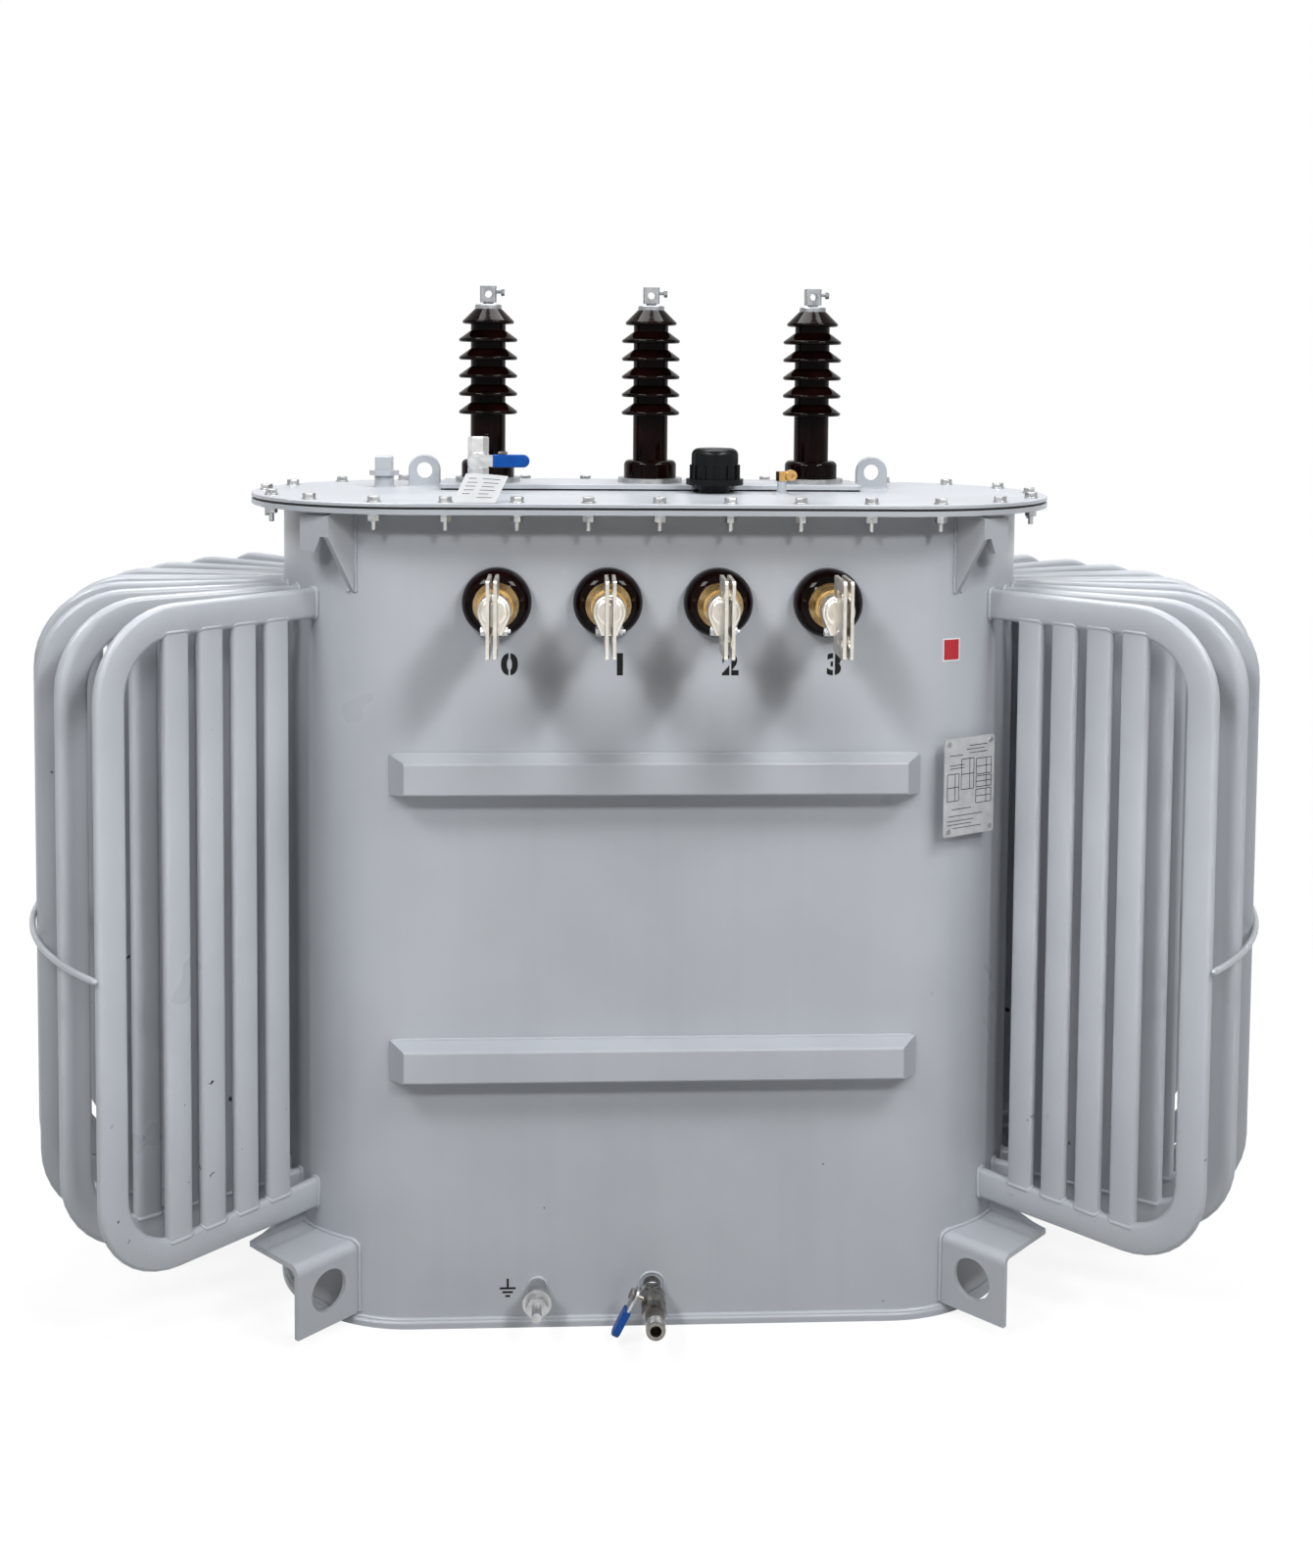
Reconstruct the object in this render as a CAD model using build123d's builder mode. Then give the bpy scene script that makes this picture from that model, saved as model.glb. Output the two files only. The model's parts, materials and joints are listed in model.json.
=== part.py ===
import os
from math import cos, radians, sin, sqrt, tan
from build123d import *

os.makedirs("parts", exist_ok=True)

# Tank, in mm: an oval of two flat sides and two half-round ends
tank_half_length = 625.0
tank_radius = 235.0
wall = 6.0
straight_half = tank_half_length - tank_radius
bottom_thick = 12.0
bottom_over = 8.0
bottom_round = 4.0
flange_z = 1328.0
flange_thick = 8.0
flange_over = 53.5
flange_inset = 20.0
gasket_thick = 4.0
gasket_step = 3.0
cover_thick = 6.0
cover_round = 2.0
gasket_z = flange_z + flange_thick
cover_z = gasket_z + gasket_thick
cover_top = cover_z + cover_thick

# High voltage pad and bushings on the cover
hv_pad_end = 24.5
hv_y = 80.0
hv_pad_length = 732.0
hv_pad_width = 150.0
hv_pad_thick = 8.0
hv_pad_corner = 12.0
hv_pad_round = 2.0
hv_pad_gasket = 3.0
hv_pad_step = 3.0
hv_collar_r = 56.5
hv_collar_h = 8.0
hv_collar_clear = 0.5
hv_foot_r = 38.0
hv_flange_r = 46.0
hv_flange_h = 31.0
hv_flange_round = 9.0
hv_core_r = 30.5
hv_shed_r = 51.0
hv_shed_count = 6
hv_shed_pitch = 31.4
hv_shed_nose = 3.6
hv_shed_under = 5.0
hv_shed_lean = 54.0
hv_top_shed_step = 6.0
hv_first_shed = 118.0
hv_top = 301.0
hv_cap_r = 23.0
hv_cap_h = 8.0
hv_cap_edge = 1.5
hv_cap_seat = 1.0
hv_neck_r = 9.0
hv_neck_h = 4.0
hv_block = 28.0
hv_block_edge = 4.0
hv_hole_r = 6.5
hv_screw_r = 4.0
hv_screw_head_r = 8.0
hv_screw_head = 6.0
hv_screw_out = 14.0
hv_screw_up = 19.0
hv_seat = cover_top + hv_pad_gasket + hv_pad_thick
hv_pitch = hv_pad_length / 2 - hv_collar_r - hv_pad_end

# Low voltage bushings on the front wall
lv_count = 4
lv_end_extra = 11.0
lv_x = 8.0
lv_z = 1186.0
lv_hole_r = 30.0
lv_spigot_r = 28.0
lv_spigot = 30.0
lv_disc_r = 55.5
lv_edge = 10.0
lv_face_r = 36.0
lv_depth = 40.0
lv_collar_depth = 25.0
lv_collar_lip = 9.0
lv_collar_nose_r = 28.0
lv_collar_clear = 0.5
lv_hub_r = 23.0
lv_hub_round = 7.0
lv_hub_depth = 62.0
clamp_r = 26.0
clamp_width = 26.0
clamp_drop = 14.0
clamp_ear = 12.0
clamp_depth = 26.0
clamp_front = 3.0
clamp_round = 4.0
flag_height = 118.0
flag_length = 95.0
flag_thick = 5.0
flag_gap = 6.0
flag_corner = 6.0
flag_sink = 2.0
flag_tongue = 44.0
flag_hole_r = 7.0
flag_hole_across = 40.0
flag_hole_up = 70.0
flag_hole_shift = 16.0
lv_gap = (2 * straight_half - 2 * lv_count * lv_disc_r - lv_end_extra) / (lv_count + 1)
lv_pitch = 2 * lv_disc_r + lv_gap

# Tube coolers, nine bent loops round each end
loop_count = 9
loop_first = 44.0
loop_step = (90.0 - loop_first) / ((loop_count - 1) / 2)
loop_out = 380.0
loop_low = 173.0
loop_high = 1200.0
loop_root = 12.0
header_r = 22.0
riser_r = 20.0
bend_r = 115.0
riser_out = 90.0
riser_outer_gap = 104.0
riser_count = 4
rod_r = 5.0
rod_z = 655.0
rod_sink = 1.0
loop_reach = tank_radius + loop_out
riser_first = tank_radius + riser_out
riser_pitch = (loop_reach - riser_outer_gap - riser_first) / (riser_count - 1)

# Stiffening channels, a little longer than the flat sides
channel_past = 36.5
channel_height = 65.0
channel_end_slope = 26.0
channel_slope = 6.5
channel_depth = 40.0
channel_round = 4.0
channel_low_z = 444.0
channel_high_z = 908.0
channel_length = 2 * (straight_half + channel_past)

# Corner feet and lifting lugs, laid out along the corner diagonals
foot_low = 18.0
foot_high = 137.0
foot_thick = 9.0
foot_bend = 7.0
foot_out = 103.0
foot_near = -93.0
foot_far = 36.0
foot_hole_r = 34.0
foot_hole_out = 42.0
foot_lip = 30.0
foot_lip_end = 4.0
foot_lip_run = 25.0
foot_root_depth = 30.0
lug_thick = 10.0
lug_out = 37.0
lug_near = -88.0
lug_width = 72.0
lug_gap = 6.0
lug_plate_height = 58.0
lug_web_height = 131.0
lug_notch_width = 34.0
lug_notch_height = 25.0
lug_notch_slant = 14.0
lug_corner = 6.0
lug_root_depth = 8.0
foot_reach = tank_radius + foot_out
lug_reach = tank_radius + lug_out

# Lifting eyes, filler plug, tap changer cap and relief fitting on the cover
eye_gap = 4.0
eye_y = 110.0
eye_half = 28.0
eye_thick = 12.0
eye_edge = 2.0
eye_hole_r = 14.0
eye_hole_z = 28.0
plug_gap = 15.0
plug_y = 90.0
plug_boss_r = 17.0
plug_boss = 20.0
plug_hex_r = 26.0
plug_hex = 8.0
plug_head = 30.0
plug_head_h = 26.0
plug_corner = 3.0
plug_edge = 2.0
tap_x = 106.0
tap_clear = 5.0
tap_neck_r = 26.0
tap_neck = 14.0
tap_rim_r = 49.0
tap_rim = 10.0
tap_cap_r = 40.0
tap_cap = 56.0
tap_crown_r = 30.0
tap_crown = 12.0
tap_rib_count = 12
tap_rib_width = 5.0
tap_rib_out = 3.0
tap_rib = 24.0
relief_x = 217.0
relief_y = -60.0
relief_foot_r = 12.0
relief_foot = 4.0
relief_pipe_r = 8.0
relief_pipe = 23.0
relief_nut_r = 10.0
relief_nut = 16.0
relief_arm_r = 6.0
relief_arm = 16.0
relief_clear = 0.5
relief_ball_r = 9.0
relief_ball = 9.0
relief_bore_r = 4.0

# Ball valves: shared sizes of the stem, lever and grip
stem_r = 5.0
stem_clear = 0.5
stem_nut_r = 9.0
stem_nut = 6.0
stem_past = 2.0
lever_clear = 11.0
lever_thick = 4.0
lever_eye_r = 13.0
lever_width = 20.0
grip_start = 26.0
grip_height = 22.0
grip_half = 6.0
grip_edge = 3.0

# Upper valve on the cover
valve_x = -297.5
valve_clear = 3.0
valve_pipe_r = 12.0
valve_r = 17.0
valve_belly_r = 18.5
valve_hex_r = 18.0
valve_rise = 53.0
valve_half = 14.0
valve_low_hex = 12.0
valve_top_hex = 26.0
valve_edge = 2.0
lever_length = 88.0
valve_centre = cover_top + valve_rise
valve_y = hv_y - hv_pad_width / 2 - valve_pipe_r - valve_clear

# Drain valve and earth terminal low on the front wall
drain_x = -1.0
drain_z = 64.0
drain_lean = 27.0
drain_pipe_r = 15.0
drain_bore_r = 9.0
drain_hex_r = 20.0
drain_belly_r = 20.0
drain_root = 27.0
drain_body = 68.0
drain_hex = 14.0
drain_waist_r = 17.0
drain_spout = 48.0
drain_lever_length = 74.0
earth_x = -187.0
earth_z = 64.0
earth_boss_r = 15.0
earth_boss = 50.0
earth_washer_r = 23.0
earth_washer = 5.0
earth_nut_r = 18.0
earth_nut = 14.0
earth_stud_r = 8.0
earth_stud = 43.0

# Nameplate and its bent bracket on the right end
plate_angle = 28.0
plate_width = 105.0
plate_height = 160.0
plate_corner = 4.0
plate_z = 885.0
plate_thick = 2.0
plate_stand = 18.0
bracket_width = 63.0
bracket_height = 128.0
bracket_thick = 3.0
bracket_leg = 60.0

hv_x = [(i - 1) * hv_pitch for i in range(3)]
lv_xs = [lv_x + (i - (lv_count - 1) / 2) * lv_pitch for i in range(lv_count)]
front = Plane(origin=(0, -tank_radius, 0), x_dir=(1, 0, 0), z_dir=(0, -1, 0))
back = Plane(origin=(0, tank_radius, 0), x_dir=(-1, 0, 0), z_dir=(0, 1, 0))


def save(part, name):
    part.label = name
    export_step(part, "parts/" + name + ".step")


# Tank walls
with BuildPart() as tank_front_wall:
    with BuildSketch(front):
        with Locations((0, (bottom_thick + flange_z) / 2)):
            Rectangle(2 * straight_half, flange_z - bottom_thick)
        with Locations(*[(x, lv_z) for x in lv_xs]):
            Circle(lv_hole_r, mode=Mode.SUBTRACT)
    extrude(amount=-wall)
save(tank_front_wall.part, "tank_front_wall")

with BuildPart() as tank_back_wall:
    with BuildSketch(back):
        with Locations((0, (bottom_thick + flange_z) / 2)):
            Rectangle(2 * straight_half, flange_z - bottom_thick)
    extrude(amount=-wall)
save(tank_back_wall.part, "tank_back_wall")

end_walls = {
    "tank_left_end_back": (-1, 90),
    "tank_left_end_front": (-1, 180),
    "tank_right_end_front": (1, 270),
    "tank_right_end_back": (1, 0),
}
for name, (side, start) in end_walls.items():
    centre = (side * straight_half, 0)
    with BuildPart() as end_wall:
        with BuildSketch(Plane.XY.offset(bottom_thick)):
            with BuildLine():
                outer = CenterArc(centre, tank_radius, start, 90)
                inner = CenterArc(centre, tank_radius - wall, start, 90)
                Line(outer @ 0, inner @ 0)
                Line(outer @ 1, inner @ 1)
            make_face()
        extrude(amount=flange_z - bottom_thick)
    save(end_wall.part, name)

# Bottom plate, top flange, gasket and cover
with BuildPart() as tank_bottom:
    with BuildSketch(Plane.XY):
        SlotCenterToCenter(2 * straight_half, 2 * (tank_radius + bottom_over))
    extrude(amount=bottom_thick)
    fillet(tank_bottom.faces().sort_by(Axis.Z)[-1].edges(), bottom_round)
save(tank_bottom.part, "tank_bottom")

with BuildPart() as top_flange:
    with BuildSketch(Plane.XY.offset(flange_z)):
        SlotCenterToCenter(2 * straight_half, 2 * (tank_radius + flange_over))
        SlotCenterToCenter(2 * straight_half, 2 * (tank_radius - flange_inset), mode=Mode.SUBTRACT)
    extrude(amount=flange_thick)
save(top_flange.part, "top_flange")

with BuildPart() as cover_gasket:
    with BuildSketch(Plane.XY.offset(gasket_z)):
        SlotCenterToCenter(2 * straight_half, 2 * (tank_radius + flange_over - gasket_step))
        SlotCenterToCenter(2 * straight_half, 2 * (tank_radius - flange_inset), mode=Mode.SUBTRACT)
    extrude(amount=gasket_thick)
save(cover_gasket.part, "cover_gasket")

with BuildPart() as cover_plate:
    with BuildSketch(Plane.XY.offset(cover_z)):
        SlotCenterToCenter(2 * straight_half, 2 * (tank_radius + flange_over))
    extrude(amount=cover_thick)
    fillet(cover_plate.faces().sort_by(Axis.Z)[-1].edges(), cover_round)
save(cover_plate.part, "cover_plate")

# High voltage pad, its gasket and the clamping collars
with BuildPart() as hv_pad_gasket_part:
    with BuildSketch(Plane.XY.offset(cover_top)):
        with Locations((0, hv_y)):
            RectangleRounded(
                hv_pad_length - 2 * hv_pad_step, hv_pad_width - 2 * hv_pad_step, hv_pad_corner - hv_pad_step
            )
    extrude(amount=hv_pad_gasket)
save(hv_pad_gasket_part.part, "hv_pad_gasket")

with BuildPart() as hv_pad:
    with BuildSketch(Plane.XY.offset(cover_top + hv_pad_gasket)):
        with Locations((0, hv_y)):
            RectangleRounded(hv_pad_length, hv_pad_width, hv_pad_corner)
    extrude(amount=hv_pad_thick)
    fillet(hv_pad.faces().sort_by(Axis.Z)[-1].edges(), hv_pad_round)
save(hv_pad.part, "hv_pad")

with BuildPart() as hv_collars:
    with BuildSketch(Plane.XY.offset(hv_seat)):
        with Locations(*[(x, hv_y) for x in hv_x]):
            Circle(hv_collar_r)
            Circle(hv_foot_r + hv_collar_clear, mode=Mode.SUBTRACT)
    extrude(amount=hv_collar_h)
save(hv_collars.part, "hv_collars")

# High voltage porcelain: a foot, a rounded base, a plain column and a stack of drip sheds
base_top = hv_collar_h + hv_flange_h
shed_turn = radians(hv_shed_lean)
with BuildPart() as hv_porcelains:
    for x in hv_x:
        with BuildSketch(Plane(origin=(x, hv_y, hv_seat), x_dir=(1, 0, 0), z_dir=(0, -1, 0))):
            with BuildLine():
                Polyline((0, hv_top), (0, 0), (hv_foot_r, 0), (hv_foot_r, hv_collar_h))
                Line((hv_foot_r, hv_collar_h), (hv_flange_r, hv_collar_h))
                Line((hv_flange_r, hv_collar_h), (hv_flange_r, base_top - hv_flange_round))
                CenterArc((hv_flange_r - hv_flange_round, base_top - hv_flange_round), hv_flange_round, 0, 90)
                Line((hv_flange_r - hv_flange_round, base_top), (hv_core_r, base_top))
                last = (hv_core_r, base_top)
                for i in range(hv_shed_count):
                    low = hv_first_shed + i * hv_shed_pitch
                    top_shed = i == hv_shed_count - 1
                    nose_r = hv_shed_r - hv_shed_nose - (hv_top_shed_step if top_shed else 0)
                    Line(last, (hv_core_r, low + hv_shed_under))
                    Line((hv_core_r, low + hv_shed_under), (nose_r, low))
                    nose = CenterArc((nose_r, low + hv_shed_nose), hv_shed_nose, -90, 90 + hv_shed_lean)
                    rise = ((nose @ 1).X - hv_core_r) / tan(shed_turn)
                    last = (hv_core_r, (nose @ 1).Y + rise)
                    if top_shed:
                        last = (hv_cap_r + hv_cap_seat, hv_top)
                    Line(nose @ 1, last)
                Line(last, (0, hv_top))
            make_face()
        revolve(axis=Axis((x, hv_y, 0), (0, 0, 1)))
save(hv_porcelains.part, "hv_porcelains")

# High voltage terminals: cap, neck, and a clamp block with its hole and tightening screw
cap_z = hv_seat + hv_top
block_z = cap_z + hv_cap_h + hv_neck_h
with BuildPart() as hv_terminals:
    with BuildSketch(Plane.XY.offset(block_z)):
        with Locations(*[(x, hv_y) for x in hv_x]):
            Rectangle(hv_block, hv_block)
    extrude(amount=hv_block)
    fillet(hv_terminals.edges().filter_by(Axis.Z), hv_block_edge)
    with BuildSketch(Plane.XY.offset(cap_z)):
        with Locations(*[(x, hv_y) for x in hv_x]):
            Circle(hv_cap_r)
    extrude(amount=hv_cap_h)
    chamfer(hv_terminals.edges().filter_by(GeomType.CIRCLE).group_by(Axis.Z)[1], hv_cap_edge)
    with BuildSketch(Plane.XY.offset(cap_z + hv_cap_h)):
        with Locations(*[(x, hv_y) for x in hv_x]):
            Circle(hv_neck_r)
    extrude(amount=hv_neck_h)
    with BuildSketch(Plane(origin=(0, hv_y, 0), x_dir=(1, 0, 0), z_dir=(0, -1, 0))):
        with Locations(*[(x, block_z + hv_block / 2) for x in hv_x]):
            Circle(hv_hole_r)
    extrude(amount=hv_block, both=True, mode=Mode.SUBTRACT)
    for x in hv_x:
        screw_start = Plane(origin=(x + hv_block / 2, hv_y, block_z + hv_screw_up), z_dir=(1, 0, 0))
        with BuildSketch(screw_start):
            Circle(hv_screw_r)
        extrude(amount=hv_screw_out)
        with BuildSketch(screw_start.offset(hv_screw_out - hv_screw_head)):
            RegularPolygon(hv_screw_head_r, 6)
        extrude(amount=hv_screw_head)
save(hv_terminals.part, "hv_terminals")

# Low voltage bushings: a domed porcelain disc and a coned brass collar
lv_planes = [Plane(origin=(x, -tank_radius, lv_z), x_dir=(1, 0, 0), z_dir=(0, 0, 1)) for x in lv_xs]
with BuildPart() as lv_porcelains:
    for x, plane in zip(lv_xs, lv_planes):
        with BuildSketch(plane):
            with BuildLine():
                Polyline((0, lv_spigot), (lv_spigot_r, lv_spigot), (lv_spigot_r, 0), (lv_disc_r, 0))
                Line((lv_disc_r, 0), (lv_disc_r, -lv_edge))
                TangentArc((lv_disc_r, -lv_edge), (lv_face_r, -lv_depth), tangent=(0, -1))
                Polyline((lv_face_r, -lv_depth), (0, -lv_depth), (0, lv_spigot))
            make_face()
        revolve(axis=Axis((x, -tank_radius, lv_z), (0, 1, 0)))
save(lv_porcelains.part, "lv_porcelains")

collar_hole = lv_hub_r + lv_collar_clear
collar_end = lv_depth + lv_collar_depth
with BuildPart() as lv_collars:
    for x, plane in zip(lv_xs, lv_planes):
        with BuildSketch(plane):
            with BuildLine():
                Polyline(
                    (collar_hole, -lv_depth),
                    (lv_face_r, -lv_depth),
                    (lv_face_r, -lv_depth - lv_collar_lip),
                    (lv_collar_nose_r, -collar_end),
                    (collar_hole, -collar_end),
                    close=True,
                )
            make_face()
        revolve(axis=Axis((x, -tank_radius, lv_z), (0, 1, 0)))
save(lv_collars.part, "lv_collars")

# Low voltage terminals: a hub, a pear-shaped clamp round it and a double flag
hub_end = collar_end + lv_hub_depth
hub_nose = hub_end - lv_hub_round
ear_z = lv_z - lv_hub_r - clamp_drop + clamp_ear / 2
flag_mid = -tank_radius - hub_end + flag_sink - flag_length / 2
for i, (x, plane) in enumerate(zip(lv_xs, lv_planes)):
    with BuildPart() as lv_terminal:
        with BuildSketch(front.offset(hub_end - clamp_front - clamp_depth)):
            with Locations((x, lv_z)):
                Circle(clamp_r)
            with Locations((x, ear_z)):
                Rectangle(clamp_width, clamp_ear)
            make_hull()
        extrude(amount=clamp_depth)
        fillet(lv_terminal.faces().sort_by(Axis.Y)[0].edges(), clamp_round)
        with BuildSketch(plane):
            with BuildLine():
                Polyline((0, -hub_end), (0, -lv_depth), (lv_hub_r, -lv_depth), (lv_hub_r, -hub_nose))
                TangentArc((lv_hub_r, -hub_nose), (lv_hub_r - lv_hub_round, -hub_end), tangent=(0, -1))
                Line((lv_hub_r - lv_hub_round, -hub_end), (0, -hub_end))
            make_face()
        revolve(axis=Axis((x, -tank_radius, lv_z), (0, 1, 0)))
        with BuildSketch(front.offset(hub_end)):
            with Locations((x, lv_z)):
                Rectangle(flag_gap, 2 * (lv_hub_r - lv_hub_round))
        extrude(amount=flag_tongue - flag_sink)
        flag_plane = Plane(origin=(x, flag_mid, lv_z), x_dir=(0, 1, 0), z_dir=(1, 0, 0))
        for side in (-1, 1):
            with BuildSketch(flag_plane.offset(side * flag_gap / 2)):
                RectangleRounded(flag_length, flag_height, flag_corner)
            extrude(amount=side * flag_thick)
        with BuildSketch(flag_plane):
            with Locations((-flag_hole_shift, 0)):
                with GridLocations(flag_hole_across, flag_hole_up, 2, 2):
                    Circle(flag_hole_r)
        extrude(amount=flag_gap + flag_thick, both=True, mode=Mode.SUBTRACT)
    save(lv_terminal.part, "lv_terminal_" + str(i + 1))

# One cooler loop in its own frame, radial along X, then placed round each end
leg_low = loop_low + header_r
leg_high = loop_high - header_r
loop_start = tank_radius - loop_root
with BuildPart() as loop:
    with BuildLine(Plane.XZ) as loop_path:
        Line((loop_start, leg_high), (loop_reach - bend_r, leg_high))
        CenterArc((loop_reach - bend_r, leg_high - bend_r), bend_r, 90, -90)
        Line((loop_reach, leg_high - bend_r), (loop_reach, leg_low + bend_r))
        CenterArc((loop_reach - bend_r, leg_low + bend_r), bend_r, 0, -90)
        Line((loop_reach - bend_r, leg_low), (loop_start, leg_low))
    with BuildSketch(Plane(origin=(loop_start, 0, leg_high), x_dir=(0, 1, 0), z_dir=(1, 0, 0))):
        Circle(header_r)
    sweep(path=loop_path.line)
    with BuildSketch(Plane.XY.offset(leg_low)):
        with Locations(*[(riser_first + i * riser_pitch, 0) for i in range(riser_count)]):
            Circle(riser_r)
    extrude(amount=leg_high - leg_low)
    with BuildSketch(Plane.XY.offset(loop_low - header_r)):
        Circle(tank_radius)
    extrude(amount=loop_high - loop_low + 2 * header_r, mode=Mode.SUBTRACT)

groups = {"front": (0, 1, 2), "middle": (3, 4, 5), "back": (6, 7, 8)}
for side_name, side in (("left", -1), ("right", 1)):
    for group, members in groups.items():
        spots = []
        for k in members:
            turn = -90 + side * (loop_first + k * loop_step)
            spots.append(Location((side * straight_half, 0, 0), (0, 0, turn)))
        with BuildPart() as cooler:
            with Locations(*spots):
                add(loop.part)
        save(cooler.part, "cooler_" + side_name + "_" + group)

# Tie rods round the outer legs, saddled onto each leg
rod_ring = loop_reach + header_r + rod_r - rod_sink
for side_name, side in (("left", -1), ("right", 1)):
    sweep_from = -90 + side * loop_first
    reach = side * (180 - 2 * loop_first)
    with BuildPart() as tie_rod:
        with BuildLine(Plane.XY.offset(rod_z)) as rod_path:
            CenterArc((side * straight_half, 0), rod_ring, sweep_from, reach)
        with BuildSketch(Plane(origin=rod_path.line @ 0, z_dir=rod_path.line % 0)):
            Circle(rod_r)
        sweep(path=rod_path.line)
        legs = []
        for k in range(loop_count):
            angle = radians(-90 + side * (loop_first + k * loop_step))
            legs.append((side * straight_half + loop_reach * cos(angle), loop_reach * sin(angle)))
        with BuildSketch(Plane.XY.offset(rod_z - 2 * rod_r)):
            with Locations(*legs):
                Circle(header_r)
        extrude(amount=4 * rod_r, mode=Mode.SUBTRACT)
    save(tie_rod.part, "tie_rod_" + side_name)

# Stiffening channels on both flat sides, with sloped flanks and rounded faces
channel_out = tank_radius + channel_depth
with BuildPart() as stiffeners:
    for z in (channel_low_z, channel_high_z):
        for side in (front, back):
            with BuildSketch(side):
                with Locations((0, z)):
                    Rectangle(channel_length, channel_height)
            with BuildSketch(side.offset(channel_depth)):
                with Locations((0, z)):
                    Rectangle(channel_length - 2 * channel_end_slope, channel_height - 2 * channel_slope)
            loft()
    faces_front = stiffeners.faces().filter_by(Axis.Y).group_by(Axis.Y)[0]
    faces_back = stiffeners.faces().filter_by(Axis.Y).group_by(Axis.Y)[-1]
    fillet((faces_front + faces_back).edges(), channel_round)
save(stiffeners.part, "stiffeners")

# Front left foot: a bent plate on the corner diagonal, mirrored to the other corners
corner = (-straight_half, 0, 0)
diagonal = Plane(origin=corner, x_dir=(-1, -1, 0), z_dir=(-1, 1, 0))
across = Plane(origin=corner, x_dir=(1, -1, 0), z_dir=(-1, -1, 0))
foot_root = sqrt(tank_radius ** 2 - foot_near ** 2) - foot_root_depth
foot_shelf = foot_high - foot_thick
with BuildPart() as foot:
    with BuildSketch(across.offset(foot_root)) as section:
        with BuildLine():
            Polyline(
                (-foot_near, foot_low),
                (-foot_near, foot_high),
                (-foot_far, foot_high),
                (-foot_far, foot_shelf),
                (-foot_near - foot_thick, foot_shelf),
                (-foot_near - foot_thick, foot_low),
                close=True,
            )
        make_face()
        fillet(section.vertices().group_by(Axis.X)[-1].sort_by(Axis.Y)[-1], foot_bend + foot_thick)
        fillet(section.vertices().sort_by_distance((-foot_near - foot_thick, foot_shelf))[0], foot_bend)
    extrude(amount=foot_reach - foot_root)
    with BuildSketch(diagonal.offset(foot_near)):
        with Locations((tank_radius + foot_hole_out, (foot_low + foot_high) / 2)):
            Circle(foot_hole_r)
    extrude(amount=foot_thick, mode=Mode.SUBTRACT)
    with BuildSketch(diagonal.offset(foot_far - foot_thick)):
        with BuildLine():
            Polyline(
                (foot_root, foot_shelf),
                (foot_reach, foot_shelf),
                (foot_reach, foot_high),
                (foot_reach - foot_lip_run, foot_high + foot_lip_end),
                (tank_radius, foot_high + foot_lip),
                (foot_root, foot_high + foot_lip),
                close=True,
            )
        make_face()
    extrude(amount=foot_thick)
    with BuildSketch(Plane(origin=corner)):
        Circle(tank_radius)
    extrude(amount=foot_high + 2 * foot_lip, mode=Mode.SUBTRACT)
feet = {
    "foot_front_left": foot.part,
    "foot_front_right": foot.part.mirror(Plane.YZ),
    "foot_back_left": foot.part.mirror(Plane.XZ),
    "foot_back_right": foot.part.mirror(Plane.YZ).mirror(Plane.XZ),
}
for name, part in feet.items():
    save(part, name)

# Lifting lugs under the flange: a web and a hooked end plate at each corner
lug_root = sqrt(tank_radius ** 2 - lug_near ** 2) - lug_root_depth
lug_toe = lug_root + lug_thick
lug_top = flange_z - lug_gap
lug_plate_low = lug_top - lug_plate_height
lug_notch_top = lug_plate_low + lug_notch_height
lug_web_low = flange_z - lug_web_height
lug_face = Plane(
    origin=(corner[0] - lug_reach * cos(radians(45)), -lug_reach * sin(radians(45)), 0),
    x_dir=(-1, 1, 0),
    z_dir=(1, 1, 0),
)
with BuildPart() as lifting_lugs:
    with BuildSketch(diagonal.offset(lug_near)):
        with BuildLine():
            Polyline((lug_root, lug_web_low), (lug_root, flange_z), (lug_reach - lug_thick, flange_z))
            Line((lug_reach - lug_thick, flange_z), (lug_reach, lug_top))
            Line((lug_reach, lug_top), (lug_reach, lug_notch_top))
            Polyline((lug_reach, lug_notch_top), (lug_toe, lug_web_low), (lug_root, lug_web_low))
        make_face()
    extrude(amount=lug_thick)
    with BuildSketch(lug_face) as hook:
        with BuildLine():
            Polyline(
                (lug_near, lug_top),
                (lug_near, lug_notch_top),
                (lug_near + lug_notch_width - lug_notch_slant, lug_notch_top),
                (lug_near + lug_notch_width, lug_plate_low),
                (lug_near + lug_width, lug_plate_low),
                (lug_near + lug_width, lug_top),
                close=True,
            )
        make_face()
        fillet(hook.vertices().group_by(Axis.X)[-1], lug_corner)
    extrude(amount=lug_thick)
    with BuildSketch(Plane(origin=corner).offset(lug_web_low - lug_thick)):
        Circle(tank_radius)
    extrude(amount=lug_web_height + 2 * lug_thick, mode=Mode.SUBTRACT)
    mirror(about=Plane.YZ)
    mirror(about=Plane.XZ)
save(lifting_lugs.part, "lifting_lugs")

# Lifting eyes on the cover
eye_x = hv_pad_length / 2 + eye_gap + eye_half
eye_plane = Plane(origin=(0, eye_y, cover_top), x_dir=(1, 0, 0), z_dir=(0, -1, 0))
with BuildPart() as cover_eyes:
    with BuildSketch(eye_plane):
        with Locations((-eye_x, eye_hole_z), (eye_x, eye_hole_z)):
            Circle(eye_half)
        with Locations((-eye_x, eye_hole_z / 2), (eye_x, eye_hole_z / 2)):
            Rectangle(2 * eye_half, eye_hole_z)
        with Locations((-eye_x, eye_hole_z), (eye_x, eye_hole_z)):
            Circle(eye_hole_r, mode=Mode.SUBTRACT)
    extrude(amount=eye_thick / 2, both=True)
    rims = cover_eyes.edges().filter_by(GeomType.CIRCLE)
    chamfer([edge for edge in rims if edge.radius > eye_hole_r], eye_edge)
save(cover_eyes.part, "cover_eyes")

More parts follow.
